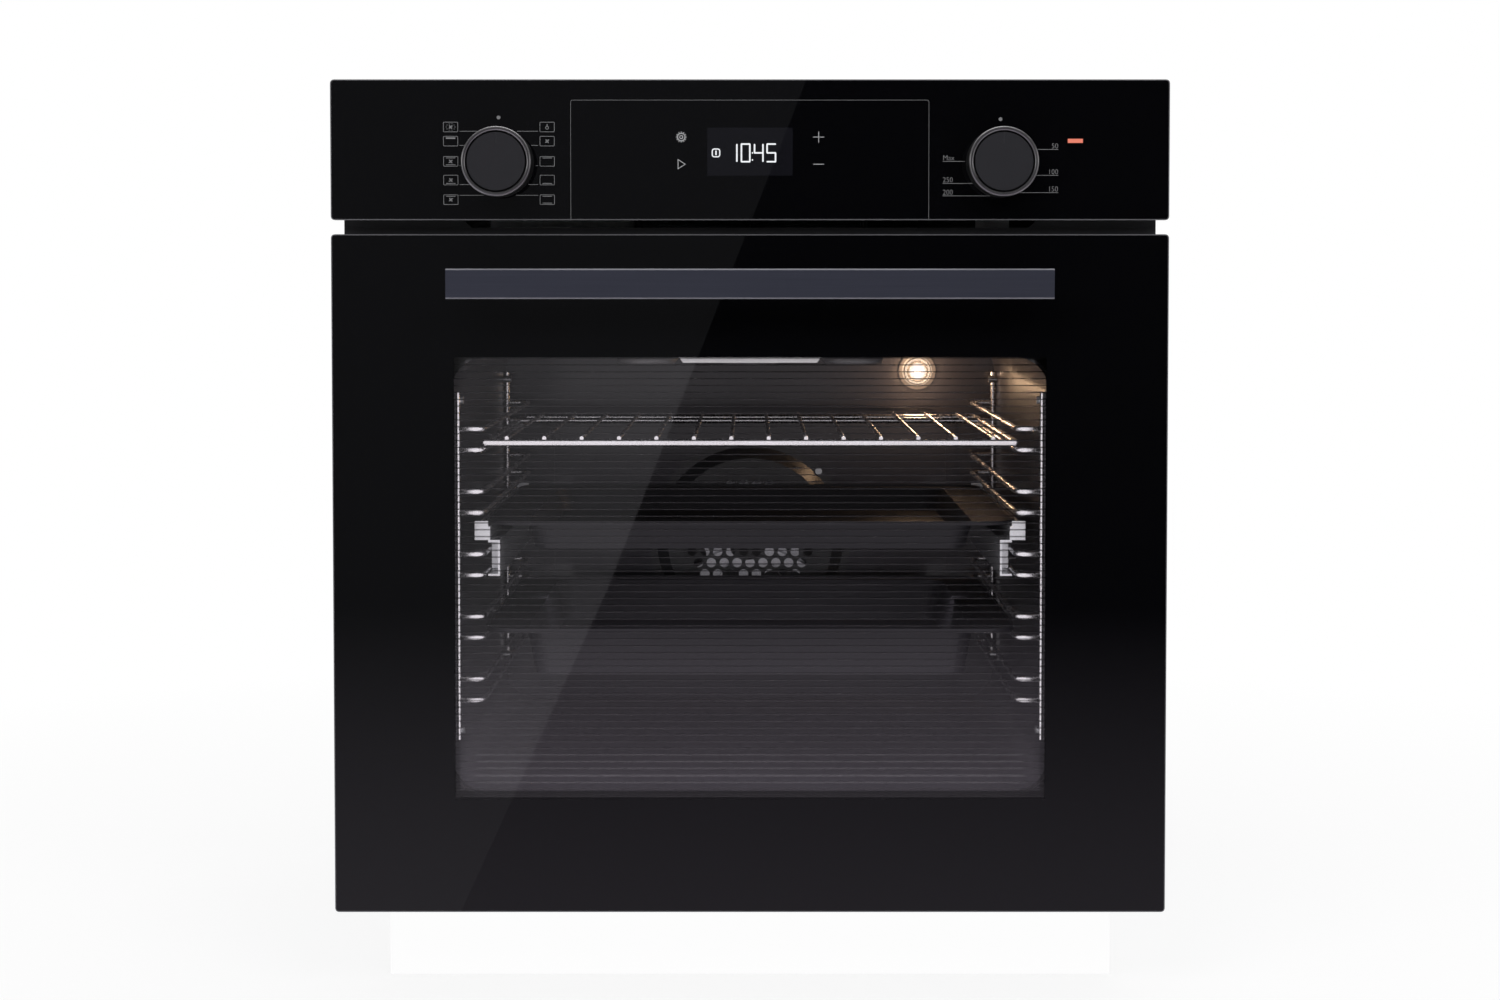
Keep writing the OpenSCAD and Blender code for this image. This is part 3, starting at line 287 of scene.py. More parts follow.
@dataclass(frozen=True)
class SheetMetal(Finish):
    """Zinc-coated sheet with a fine spangle."""

    name: str = "zinc_sheet"
    light: Colour = (0.60, 0.62, 0.64)
    dark: Colour = (0.46, 0.48, 0.50)
    spangles: float = 120.0

    def material(self) -> bpy.types.Material:
        """Builds the material.

        Returns:
            The material.
        """
        recipe = Recipe(self.name)
        sockets = {"Vector": recipe.coords(), "Scale": self.spangles}
        cells = recipe.signal("TexVoronoi", None, sockets, out="Color")
        tone = recipe.signal("SeparateColor", None, {0: cells})
        cloud = recipe.noise(9.0)
        return recipe.coat({
            "Base Color": recipe.blend(tone * 0.7 + cloud * 0.3, self.dark, self.light),
            "Roughness": 0.34 + tone * 0.12 + cloud * 0.08, "Metallic": 0.9,
            "Normal": recipe.relief(tone, 0.05, 0.0002),
        })


@dataclass(frozen=True)
class Enamel(Finish):
    """Vitreous enamel: dark, glossy, with an orange-peel surface and fine specks."""

    base: Colour
    speck: Colour
    rough: float = 0.24
    coat: float = 0.3
    gloss: float = 0.4
    sheen: Colour = (1.0, 0.98, 1.03)

    def material(self) -> bpy.types.Material:
        """Builds the material.

        Returns:
            The material.
        """
        recipe = Recipe(self.name)
        specks = recipe.noise(900.0, 2.0) > 0.66
        cloud = recipe.noise(14.0, 4.0)
        peel = recipe.noise(260.0, 2.0)
        return recipe.coat({
            "Base Color": recipe.blend(specks * 0.6 + cloud * 0.25, self.base, self.speck),
            "Roughness": self.rough + cloud * 0.1, "Coat Weight": self.coat, "Coat Roughness": 0.12,
            "Specular IOR Level": self.gloss, "Specular Tint": (*self.sheen, 1.0),
            "Normal": recipe.relief(peel, 0.12, 0.0004),
        })


@dataclass(frozen=True)
class DrawnWire(Finish):
    """Polished wire or strip, with faint drawing marks and a duller film in places."""

    base: Colour
    rough: float
    film: Colour = (0.40, 0.36, 0.32)
    filmed: float = 0.60

    def material(self) -> bpy.types.Material:
        """Builds the material.

        Returns:
            The material.
        """
        recipe = Recipe(self.name)
        marks = recipe.noise(700.0, 2.0)
        cloud = recipe.noise(30.0)
        return recipe.coat({
            "Base Color": recipe.blend((cloud - 0.45) * self.filmed, self.base, self.film),
            "Metallic": 1.0, "Roughness": self.rough + marks * 0.08 + cloud * 0.06,
            "Normal": recipe.relief(marks, 0.03, 0.0001),
        })


@dataclass(frozen=True)
class PatchedSteel(Finish):
    """A wheel's steel with dark patches at listed places.

    Each patch is an ellipse: its middle across and up from the axis, and its half width and height.
    """

    axis: Vector
    dark_patches: tuple[Field, ...] = (
        (-0.0023, -0.0107, 0.0155, 0.0105),
        (-0.0181, -0.0382, 0.0065, 0.0085),
        (0.0290, -0.0392, 0.0195, 0.0098),
        (-0.0560, -0.0167, 0.0165, 0.0125),
        (0.0560, -0.0132, 0.0120, 0.0120),
    )
    base: Colour = (0.60, 0.60, 0.63)
    patch_colour: Colour = (0.030, 0.029, 0.031)
    rough: float = 0.42

    def material(self) -> bpy.types.Material:
        """Builds the material.

        Returns:
            The material.
        """
        recipe = Recipe(self.name)
        x, _, z = recipe.place()
        outside_patches: Signal | float = 1.0
        for mid_x, mid_z, half_x, half_z in self.dark_patches:
            across = (x - (self.axis.x + mid_x)) / half_x
            up = (z - (self.axis.z + mid_z)) / half_z
            outside_patches = outside_patches * (across * across + up * up > 1.0)
        return recipe.coat({
            "Base Color": recipe.blend(outside_patches, self.patch_colour, self.base), "Metallic": 1.0,
            "Roughness": self.rough + recipe.noise(40.0) * 0.06,
        })


@dataclass(frozen=True)
class BrushedBar(Finish):
    """Dark anodised aluminium, brushed along X, with paler chamfers: polished edges, partly a painted
    highlight.
    """

    name: str = "dark_brushed_bar"
    base: Colour = (0.100, 0.105, 0.142)
    groove: Colour = (0.055, 0.058, 0.085)
    edge: Colour = (0.205, 0.205, 0.230)

    def material(self) -> bpy.types.Material:
        """Builds the material.

        Returns:
            The material.
        """
        recipe = Recipe(self.name)
        lines = recipe.noise(1.0, 4.0, recipe.stretched((14.0, 2600.0, 2600.0)))
        broad = recipe.noise(1.0, 2.0, recipe.stretched((3.0, 300.0, 300.0)))
        _, back, up = recipe.normal()
        # The slanted chamfers take the paler edge colour: polished metal, partly a painted highlight.
        slanted = (back * up).size() > 0.25
        tone = recipe.blend(lines * 0.7 + broad * 0.3, self.groove, self.base)
        return recipe.coat({
            "Base Color": recipe.blend(slanted, tone, self.edge), "Metallic": 0.75,
            "Roughness": 0.34 + lines * 0.16, "Normal": recipe.relief(lines, 0.08, 0.0002),
        })


@dataclass(frozen=True)
class Moulded(Finish):
    """Moulded plastic or paint with a fine grain."""

    base: Colour
    light: Colour
    rough: float = 0.45
    grain: float = 0.1
    metallic: float = 0.0

    def material(self) -> bpy.types.Material:
        """Builds the material.

        Returns:
            The material.
        """
        recipe = Recipe(self.name)
        grit = recipe.noise(1400.0, 2.0)
        return recipe.coat({
            "Base Color": recipe.blend(recipe.noise(22.0), self.base, self.light),
            "Roughness": self.rough + grit * 0.1, "Metallic": self.metallic,
            "Normal": recipe.relief(grit, self.grain, 0.0002),
        })


@dataclass(frozen=True)
class SatinFace(Finish):
    """A knob's face: spun metal, with rings round its axis, a paler pointer groove and a near-black ring of
    painted shade at its rim.
    """

    axis: Vector
    base: Colour = (0.0200, 0.0197, 0.0228)
    rim: float = 0.0203
    painted_gap_shade: Colour = (0.001, 0.001, 0.001)
    groove: Colour = (0.030, 0.030, 0.034)
    groove_half: float = 0.0005
    groove_start: float = 0.0125
    groove_end: float = 0.0202

    def material(self) -> bpy.types.Material:
        """Builds the material.

        Returns:
            The material.
        """
        recipe = Recipe(self.name)
        across, up, radius = recipe.round_axis(self.axis)
        ring = recipe.rings(radius)
        mark = (across.size() < self.groove_half) * (up > self.groove_start) * (up < self.groove_end)
        face = recipe.blend(mark, self.base, self.groove)
        # Beyond the rim radius the face is painted near-black: painted shade of the slot between face and
        # body.
        return recipe.coat({
            "Base Color": recipe.blend(radius > self.rim, face, self.painted_gap_shade), "Metallic": 0.2,
            "Specular IOR Level": 0.25, "Roughness": 0.45 + ring * 0.12,
            "Normal": recipe.relief(ring, 0.04, 0.0001),
        })


@dataclass(frozen=True)
class KnobBody(Finish):
    """A knob's body: a polished ring, with the hollow inside it and the skirt behind it painted near-black as
    painted shade.
    """

    axis: Vector
    front: float
    bead: float = 0.0214
    bead_depth: float = 0.0034
    base: Colour = (0.38, 0.37, 0.38)
    seat_and_skirt_shade: Colour = (0.004, 0.004, 0.0045)

    def material(self) -> bpy.types.Material:
        """Builds the material.

        Returns:
            The material.
        """
        recipe = Recipe(self.name)
        _, y, _ = recipe.place()
        _, _, radius = recipe.round_axis(self.axis)
        ring = recipe.rings(radius)
        # All but the front of the bead, the hollow inside it and the skirt behind it, is painted near-black:
        # painted shade.
        polished = (radius > self.bead) * (y < self.front + self.bead_depth)
        return recipe.coat({
            "Base Color": recipe.blend(polished, self.seat_and_skirt_shade, self.base), "Metallic": polished,
            "Roughness": 0.50 - polished * 0.20 + ring * 0.06,
            "Normal": recipe.relief(ring, 0.03, 0.0001),
        })


@dataclass(frozen=True)
class PanelGlass(Finish):
    """Opaque black glass with a faintly lighter display field."""

    field: Field
    display: Colour = (0.0052, 0.0052, 0.0070)

    def material(self) -> bpy.types.Material:
        """Builds the material.

        Returns:
            The material.
        """
        recipe = Recipe(self.name)
        edge = recipe.turned_from_front()
        face = recipe.blend(recipe.within(self.field), BLACK_PRINT, self.display)
        return recipe.coat({
            "Base Color": recipe.blend(edge, face, GROUND_EDGE), "IOR": GLASS_IOR,
            "Roughness": 0.007 + recipe.noise(6.0) * 0.006 + edge * 0.35,
        })


@dataclass(frozen=True)
class WindowGlass(Finish):
    """Clear glass, if need be with dark level lines, or with a black print round a window."""

    window: Field | None = None
    tint: float = 0.98
    line_pitch: float = 0.0
    line_width: float = 0.0
    line_colour: Colour = (0.052, 0.050, 0.054)
    line_share: float = 0.55

    def material(self) -> bpy.types.Material:
        """Builds the material.

        Returns:
            The material.
        """
        recipe = Recipe(self.name)
        gloss = recipe.signal("BsdfGlossy", None, {"Color": WHITE, "Roughness": 0.008})
        tint = (self.tint, self.tint * 0.993, self.tint, 1)
        clear = recipe.signal("BsdfTransparent", None, {"Color": tint})
        facing = recipe.signal("LayerWeight", None, {"Blend": 0.5}, out="Facing")
        surface = recipe.over(0.042 + facing ** 5.0 * 0.6, clear, gloss)
        if self.line_pitch:
            _, _, z = recipe.place()
            line = ((z % self.line_pitch) < self.line_width) * self.line_share
            dark = recipe.principled({"Base Color": (*self.line_colour, 1), "Roughness": 0.5})
            surface = recipe.over(line, surface, dark)
        if self.window:
            film = 0.007 + recipe.noise(5.0) * 0.006
            black = recipe.principled({"Base Color": (*BLACK_PRINT, 1), "Roughness": film, "IOR": GLASS_IOR})
            ground = recipe.principled({"Base Color": (*GROUND_EDGE, 1), "Roughness": 0.37, "IOR": GLASS_IOR})
            surface = recipe.over(recipe.within(self.window), black, surface)
            surface = recipe.over(recipe.turned_from_front(), surface, ground)
        return recipe.finish(surface)


@dataclass(frozen=True)
class Glow(Finish):
    """A surface of one colour that glows, a little uneven: a lamp, or print given a painted glow."""

    colour: Colour
    strength: float
    body: float = 1.0

    def material(self) -> bpy.types.Material:
        """Builds the material.

        Returns:
            The material.
        """
        recipe = Recipe(self.name)
        dim = tuple(value * 0.9 for value in self.colour)
        body = tuple(value * self.body for value in self.colour)
        return recipe.coat({
            "Base Color": (*body, 1.0), "Roughness": 0.4, "Emission Strength": self.strength,
            "Emission Color": recipe.blend(recipe.noise(160.0, 2.0), dim, self.colour),
        })


@dataclass(frozen=True)
class LampLens(Finish):
    """The lit lamp glass: a white heart, and warm rings of the ribbed glass round it."""

    axis: Vector
    radius: float
    strength: float = 1.58
    body: Colour = (0.03, 0.025, 0.02)
    flute: Colour = (0.30, 0.19, 0.10)
    warmth: tuple[tuple[float, Colour], ...] = (
        (0.0, (1.0, 1.0, 0.99)), (0.34, (1.0, 0.98, 0.94)), (0.43, (0.92, 0.80, 0.64)),
        (0.50, (0.42, 0.30, 0.19)), (0.56, (0.34, 0.23, 0.14)), (0.61, (0.86, 0.74, 0.58)),
        (0.66, (0.74, 0.60, 0.44)), (0.71, (0.10, 0.065, 0.045)), (0.78, (0.52, 0.41, 0.29)),
        (0.84, (0.11, 0.075, 0.05)), (0.92, (0.22, 0.15, 0.10)), (1.0, (0.10, 0.07, 0.05)),
    )

    def material(self) -> bpy.types.Material:
        """Builds the material.

        Returns:
            The material.
        """
        recipe = Recipe(self.name)
        _, _, radius = recipe.round_axis(self.axis)
        warmth = recipe.signal("ValToRGB", {"stops": self.warmth}, {0: radius / self.radius})
        return recipe.coat({
            "Base Color": (*self.body, 1), "Roughness": 0.15, "Emission Strength": self.strength,
            "Emission Color": recipe.blend(recipe.noise(240.0, 2.0) * 0.18, warmth, self.flute),
        })


@dataclass(frozen=True)
class Fleece(Finish):
    """Mineral-fibre blanket."""

    name: str = "mineral_blanket"
    dark: Colour = (0.50, 0.44, 0.28)
    light: Colour = (0.82, 0.77, 0.60)

    def material(self) -> bpy.types.Material:
        """Builds the material.

        Returns:
            The material.
        """
        recipe = Recipe(self.name)
        fibres = recipe.noise(1.0, 6.0, recipe.stretched((260.0, 90.0, 420.0)))
        share = fibres * 0.6 + recipe.noise(18.0) * 0.4
        return recipe.coat({
            "Base Color": recipe.blend(share, self.dark, self.light), "Roughness": 0.95,
            "Normal": recipe.relief(fibres, 0.6, 0.002),
        })


# ---- Printed signs ----


def new_piece(name: str, mesh: bmesh.types.BMesh, finish: bpy.types.Material) -> bpy.types.Object:
    """Makes a shape an object of the scene.

    Args:
        name: the object's name.
        mesh: its shape, which is used up.
        finish: its material.

    Returns:
        The object.
    """
    data = bpy.data.meshes.new(name)
    mesh.to_mesh(data)
    mesh.free()
    data.materials.append(finish)
    thing = bpy.data.objects.new(name, data)
    bpy.context.scene.collection.objects.link(thing)
    LOG.info("%s: %d faces", name, len(data.polygons))
    return thing


def polar(centre: Point, reach: float, degrees: float, squash: float = 1.0) -> Point:
    """The point at a distance and an angle from a centre, its rise squashed by a factor."""
    angle = math.radians(degrees)
    return centre[0] + reach * math.cos(angle), centre[1] + reach * squash * math.sin(angle)


@dataclass
class Stencil:
    """Flat shapes in millimetres, x to the right and z up, printed on the plane at y in metres."""

    name: str
    y: float
    thickness: float = 0.05
    capital: float = 0.70
    thinning: float = -0.07

    def __post_init__(self) -> None:
        """Starts with no shape."""
        self.mesh = bmesh.new()

    def _raise(self, faces: list[bmesh.types.BMFace]) -> None:
        """Gives flat faces their thickness.

        Args:
            faces: the faces.
        """
        made = bmesh.ops.extrude_face_region(self.mesh, geom=faces)
        verts = [item for item in made["geom"] if isinstance(item, bmesh.types.BMVert)]
        bmesh.ops.translate(self.mesh, verts=verts, vec=(0, 0, self.thickness))

    def _hollow(self, faces: list[bmesh.types.BMFace], width: float) -> None:
        """Leaves only a border of a face, and raises it.

        Args:
            faces: the face, or the faces that make it up.
            width: the border's width.
        """
        rim = bmesh.ops.inset_region(self.mesh, faces=faces, thickness=width, use_boundary=True,
                                     use_even_offset=True)
        bmesh.ops.delete(self.mesh, geom=faces, context="FACES_ONLY")
        self._raise(rim["faces"])

    def _circle(self, place: Matrix, radius: float, steps: int) -> list[bmesh.types.BMFace]:
        """Adds a flat round face with so many corners, and returns it in a list."""
        made = bmesh.ops.create_circle(self.mesh, cap_ends=True, radius=radius, segments=steps, matrix=place)
        return list({face for vert in made["verts"] for face in vert.link_faces})

    def bar(self, start: Point, end: Point, width: float) -> None:
        """A straight line with square ends.

        Args:
            start: its first end.
            end: its other end.
            width: its width.
        """
        run = Vector((end[0] - start[0], end[1] - start[1], 0))
        turn = Matrix.Rotation(math.atan2(run.y, run.x), 4, "Z")
        middle = Matrix.Translation(((start[0] + end[0]) / 2, (start[1] + end[1]) / 2, self.thickness / 2))
        size = Matrix.Diagonal((run.length, width, self.thickness, 1))
        bmesh.ops.create_cube(self.mesh, size=1.0, matrix=middle @ turn @ size)

    def path(self, points: list[Point], width: float) -> None:
        """Straight lines from each point to the next."""
        for start, end in zip(points, points[1:]):
            self.bar(start, end, width)

    def disc(self, centre: Point, radius: float, squash: float = 1.0, angle: float = 0.0,
             steps: int = 20) -> None:
        """A filled disc or ellipse.

        Args:
            centre: its middle.
            radius: its longer half.
            squash: its shorter half as a share of the longer.
            angle: its turn in degrees.
            steps: the number of its corners.
        """
        place = Matrix.Translation((*centre, 0)) @ Matrix.Rotation(math.radians(angle), 4, "Z")
        self._raise(self._circle(place @ Matrix.Diagonal((1, squash, 1, 1)), radius, steps))

    def ring(self, centre: Point, radius: float, width: float, steps: int = 32) -> None:
        """A ring, by its outer radius and its line's width."""
        self._hollow(self._circle(Matrix.Translation((*centre, 0)), radius, steps), width)

    def frame(self, centre: Point, size: Point, width: float, corner: float) -> None:
        """A rectangle's outline with rounded corners.

        Args:
            centre: its middle.
            size: its width and height.
            width: the line's width.
            corner: the radius of its corners.
        """
        place = Matrix.Translation((*centre, 0)) @ Matrix.Diagonal((*size, 1, 1))
        made = bmesh.ops.create_grid(self.mesh, x_segments=1, y_segments=1, size=0.5, matrix=place)
        done = bmesh.ops.bevel(self.mesh, geom=made["verts"], offset=corner, affect="VERTICES",
                               segments=4, profile=0.5, material=-1)
        self._hollow(list({face for vert in done["verts"] for face in vert.link_faces}), width)

    def outline(self, points: list[Point], width: float) -> None:
        """A closed outline through a few points.

        Args:
            points: its corners.
            width: the line's width.
        """
        face = self.mesh.faces.new([self.mesh.verts.new((*point, 0)) for point in points])
        face.normal_update()
        self._hollow([face], width)

    def words(self, text: str, place: Point, height: float, narrow: float, right: bool) -> None:
        """Plain figures or letters.

        Args:
            text: what to write.
            place: the lower corner, on the left, or on the right if right is set.
            height: the height of a capital.
            narrow: the letters' width as a share of the font's.
            right: whether the text ends at its place.
        """
        curve = bpy.data.curves.new("letters", "FONT")
        curve.body = text
        curve.size = height / self.capital
        curve.align_x = "RIGHT" if right else "LEFT"
        curve.extrude = self.thickness / 2
        curve.offset = self.thinning
        curve.resolution_u = 3
        holder = bpy.data.objects.new("letters", curve)
        flat = bpy.data.meshes.new_from_object(holder)
        flat.transform(Matrix.Translation((*place, self.thickness / 2)) @ Matrix.Diagonal((narrow, 1, 1, 1)))
        self.mesh.from_mesh(flat)
        bpy.data.objects.remove(holder)
        bpy.data.meshes.remove(flat)

    def piece(self, finish: bpy.types.Material, body: Body) -> None:
        """Puts the shapes on the front and lets them ride.

        Args:
            finish: the material.
            body: the body that it is printed on.
        """
        upright = Matrix.Translation((0, self.y, 0)) @ Matrix.Rotation(math.radians(90), 4, "X")
        bmesh.ops.transform(self.mesh, matrix=upright @ Matrix.Scale(MM, 4), verts=self.mesh.verts)
        bmesh.ops.recalc_face_normals(self.mesh, faces=self.mesh.faces)
        thing = new_piece(self.name, self.mesh, finish)
        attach(thing, body.value)


class Symbol(Enum):
    """The heating symbols, each by what it holds inside its frame."""

    LAMP = "lamp"
    GRILL = "grill"
    FAN = "fan"
    TOP = "top"
    BOTTOM = "bottom"
    TOP_BOTTOM = "top bottom"
    FAN_TOP = "fan top"
    FAN_BOTTOM = "fan bottom"
    FAN_BOTH = "fan top bottom"
    DEFROST = "fan drops"


@dataclass
class ControlPanel:
    """The printing and the clock on the control panel's glass, in millimetres."""

    knob_x: float = 177.5
    knob_z: float = 540.0
    symbol: Point = (10.5, 7.15)
    symbol_corner: float = 0.7
    inset: Point = (1.9, 1.15)
    blades: float = 1.70
    drops: float = 3.1
    drops_squash: float = 2.35 / 3.1
    line: float = 0.34
    inner_line: float = 0.45
    thick_line: float = 1.05
    columns: Point = (-212.2, -143.8)
    rows: tuple[float, ...] = (565.4, 555.4, 541.1, 527.9, 514.0)
    leads: tuple[float, ...] = (562.4, 552.4, 538.0, 524.7, 517.1)
    lead_ends: Point = (-205.9, -150.3)
    lead_ring: float = 25.6
    lead_least: float = 8.0
    zero_mark: float = 1.35
    function_zero: Point = (-178.2, 572.1)
    heat_zero: Point = (177.5, 570.9)
    heat_ends: Point = (218.6, 136.6)
    cool_marks: Marks = (("50", 549.5, 203.7), ("100", 531.2, 202.7), ("150", 519.0, 189.6))
    hot_marks: Marks = (("Max", 541.1, 152.4), ("250", 525.5, 157.9), ("200", 516.7, 171.5))
    letter: float = 3.7
    letter_narrow: float = 0.93
    letter_rise: float = 0.75
    field_sides: Point = (-127.1, 126.8)
    field_top: float = 584.4
    field_corner: float = 1.6
    field_foot: float = 0.4
    fine_line: float = 0.22
    icon_x: float = 48.7
    icon_high: float = 558.3
    icon_low: float = 539.1
    icon_line: float = 0.40
    icon_half: float = 3.9
    gear_line: float = 0.48
    digits: tuple[tuple[str, float], ...] = (("bc", -12.3), ("abcdef", -3.1), ("fgbc", 6.2), ("afgcd", 15.1))
    digit_w: float = 7.1
    digit_h: float = 13.6
    digit_z: float = 547.1
    stroke: float = 1.12
    colon_x: float = 1.7
    status_x: float = -24.1

    def __post_init__(self) -> None:
        """Finds the glass and makes the inks, which glow as painted light, and the clock's light."""
        low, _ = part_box("control_glass")
        self.y = low.y
        self.bottom = low.z / MM
        # The printed inks emit light though they are no lamp: a painted glow.
        self.ink_glow = Glow("sign_ink_glow", (0.129, 0.129, 0.133), 0.30).material()
        self.pale_ink_glow = Glow("touch_ink_glow", (0.285, 0.285, 0.293), 0.40).material()
        self.lit = Glow("clock_light", (0.95, 0.97, 1.0), 0.95, 0.05).material()

    def build(self) -> None:
        """Builds every printed piece of the panel."""
        self._function_scale()
        self._temperature_scale()
        self._field_line()
        self._touch_icons()
        self._clock()

    def _blades(self, sign: Stencil, centre: Point) -> None:
        """A four-bladed fan.

        Args:
            sign: the stencil to draw on.
            centre: the fan's middle.
        """
        for turn in range(0, 360, 90):
            sign.disc(polar(centre, self.blades * 0.55, 45 + turn), self.blades * 0.5, 0.45, 15 + turn, 10)
        sign.disc(centre, self.blades * 0.24, steps=8)

    def _symbol(self, sign: Stencil, kind: Symbol, x: float, z: float) -> None:
        """One framed heating symbol.

        Args:
            sign: the stencil to draw on.
            kind: the symbol.
            x: its middle across.
            z: its middle up.
        """
        sign.frame((x, z), self.symbol, self.line, self.symbol_corner)
        reach, edge = self.symbol[0] / 2 - self.inset[0], self.symbol[1] / 2 - self.inset[1]
        bars = {"top": (edge, self.inner_line), "bottom": (-edge, self.inner_line),
                "grill": (edge - 0.3, self.thick_line)}
        holds = kind.value.split()
        for name, (rise, width) in bars.items():
            if name in holds:
                sign.bar((x - reach, z + rise), (x + reach, z + rise), width)
        if "fan" in holds:
            self._blades(sign, (x, z))
        if "drops" in holds:
            for turn in range(0, 360, 36):
                sign.disc(polar((x, z), self.drops, turn, self.drops_squash), 0.30, steps=6)
        if "lamp" in holds:
            sign.ring((x, z - 0.5), 1.25, self.inner_line, 16)
            sign.bar((x, z + 0.6), (x, z + 2.0), 0.6)

    def _function_scale(self) -> None:
        """Symbols and leads round the function knob, and its zero mark."""
        sign = Stencil("function_scale", self.y)
        left = (Symbol.DEFROST, Symbol.GRILL, Symbol.FAN_BOTH, Symbol.FAN_BOTTOM, Symbol.FAN_TOP)
        right = (Symbol.LAMP, Symbol.FAN, Symbol.TOP, Symbol.BOTTOM, Symbol.TOP_BOTTOM)
        for z, lead, one, other in zip(self.rows, self.leads, left, right):
            self._symbol(sign, one, self.columns[0], z)
            self._symbol(sign, other, self.columns[1], z)
            off = lead - self.knob_z
            near = math.sqrt(max(self.lead_ring ** 2 - off ** 2, self.lead_least ** 2))
            sign.bar((self.lead_ends[0], lead), (-self.knob_x - near, lead), self.line)
            sign.bar((-self.knob_x + near, lead), (self.lead_ends[1], lead), self.line)
        sign.disc(self.function_zero, self.zero_mark)
        sign.piece(self.ink_glow, Body.OVEN)

    def _temperature_scale(self) -> None:
        """Figures and leads round the temperature knob, and its zero mark."""
        sign = Stencil("temperature_scale", self.y)
        for outer, marks in zip(self.heat_ends, (self.cool_marks, self.hot_marks)):
            for text, z, inner in marks:
                sign.bar((min(outer, inner), z), (max(outer, inner), z), self.line)
                place = (outer, z + self.letter_rise)
                sign.words(text, place, self.letter, self.letter_narrow, outer > inner)
        sign.disc(self.heat_zero, self.zero_mark)
        sign.piece(self.ink_glow, Body.OVEN)

    def _field_line(self) -> None:
        """The line round the middle field, with its two rounded upper corners."""
        border = Stencil("field_line", self.y)
        (left, right), corner = self.field_sides, self.field_corner
        foot, spring = self.bottom + self.field_foot, self.field_top - corner
        turns = range(0, 91, 15)
        rising = [polar((left + corner, spring), -corner, turn, -1.0) for turn in turns]
        falling = [polar((right - corner, spring), corner, turn) for turn in reversed(turns)]
        border.path([(left, foot), *rising, *falling, (right, foot)], self.fine_line)
        border.piece(self.ink_glow, Body.OVEN)

    def _touch_icons(self) -> None:
        """A gear, a play sign, a plus and a minus."""
        icons = Stencil("touch_icons", self.y)
        x, high, low, half = self.icon_x, self.icon_high, self.icon_low, self.icon_half
        gear = (-x, high)
        icons.ring(gear, 2.85, self.gear_line)
        icons.ring(gear, 1.35, self.gear_line, 20)
        for turn in range(0, 360, 30):
            icons.bar(polar(gear, 2.75, turn), polar(gear, 3.85, turn), 0.5)
        icons.outline([(-x - 2.5, low - 3.6), (-x + 3.2, low), (-x - 2.5, low + 3.6)], self.icon_line)
        icons.bar((x - half, high), (x + half, high), self.icon_line)
        icons.bar((x, high - half), (x, high + half), self.icon_line)
        icons.bar((x - half, low), (x + half, low), self.icon_line)
        icons.piece(self.pale_ink_glow, Body.OVEN)

    def _figure(self, sign: Stencil, lit: str, x: float) -> None:
        """One seven-segment figure.

        Args:
            sign: the stencil to draw on.
            lit: its lit segments, from a to g.
            x: its middle.
        """
        rise, side = (self.digit_h - self.stroke) / 2, (self.digit_w - self.stroke) / 2
        clear = self.stroke * 0.62
        reach, short = self.digit_w / 2 - clear, clear * 0.6
        ends = {
            "a": ((-reach, rise), (reach, rise)), "b": ((side, short), (side, rise - short)),
            "c": ((side, short - rise), (side, -short)), "d": ((-reach, -rise), (reach, -rise)),
            "e": ((-side, short - rise), (-side, -short)), "f": ((-side, short), (-side, rise - short)),
            "g": ((-reach, 0), (reach, 0)),
        }
        for name in lit:
            tips = [(x + across, self.digit_z + up) for across, up in ends[name]]
            sign.path(tips, self.stroke)
            for tip in tips:
                sign.disc(tip, self.stroke / 2, steps=12)

    def _clock(self) -> None:
        """The clock's figures and the small status sign beside them."""
        sign = Stencil("clock_figures", self.y)
        for lit, x in self.digits:
            self._figure(sign, lit, x)
        for drop in (5.0, 0.0):
            sign.disc((self.colon_x, self.digit_z - drop), 0.55, steps=10)
        status = (self.status_x, self.digit_z)
        sign.frame(status, (6.1, 6.3), 0.80, 1.8)
        sign.bar((self.status_x, self.digit_z - 1.6), (self.status_x, self.digit_z + 1.6), self.thick_line)
        sign.piece(self.lit, Body.OVEN)


# ---- The oven's own nodes ----


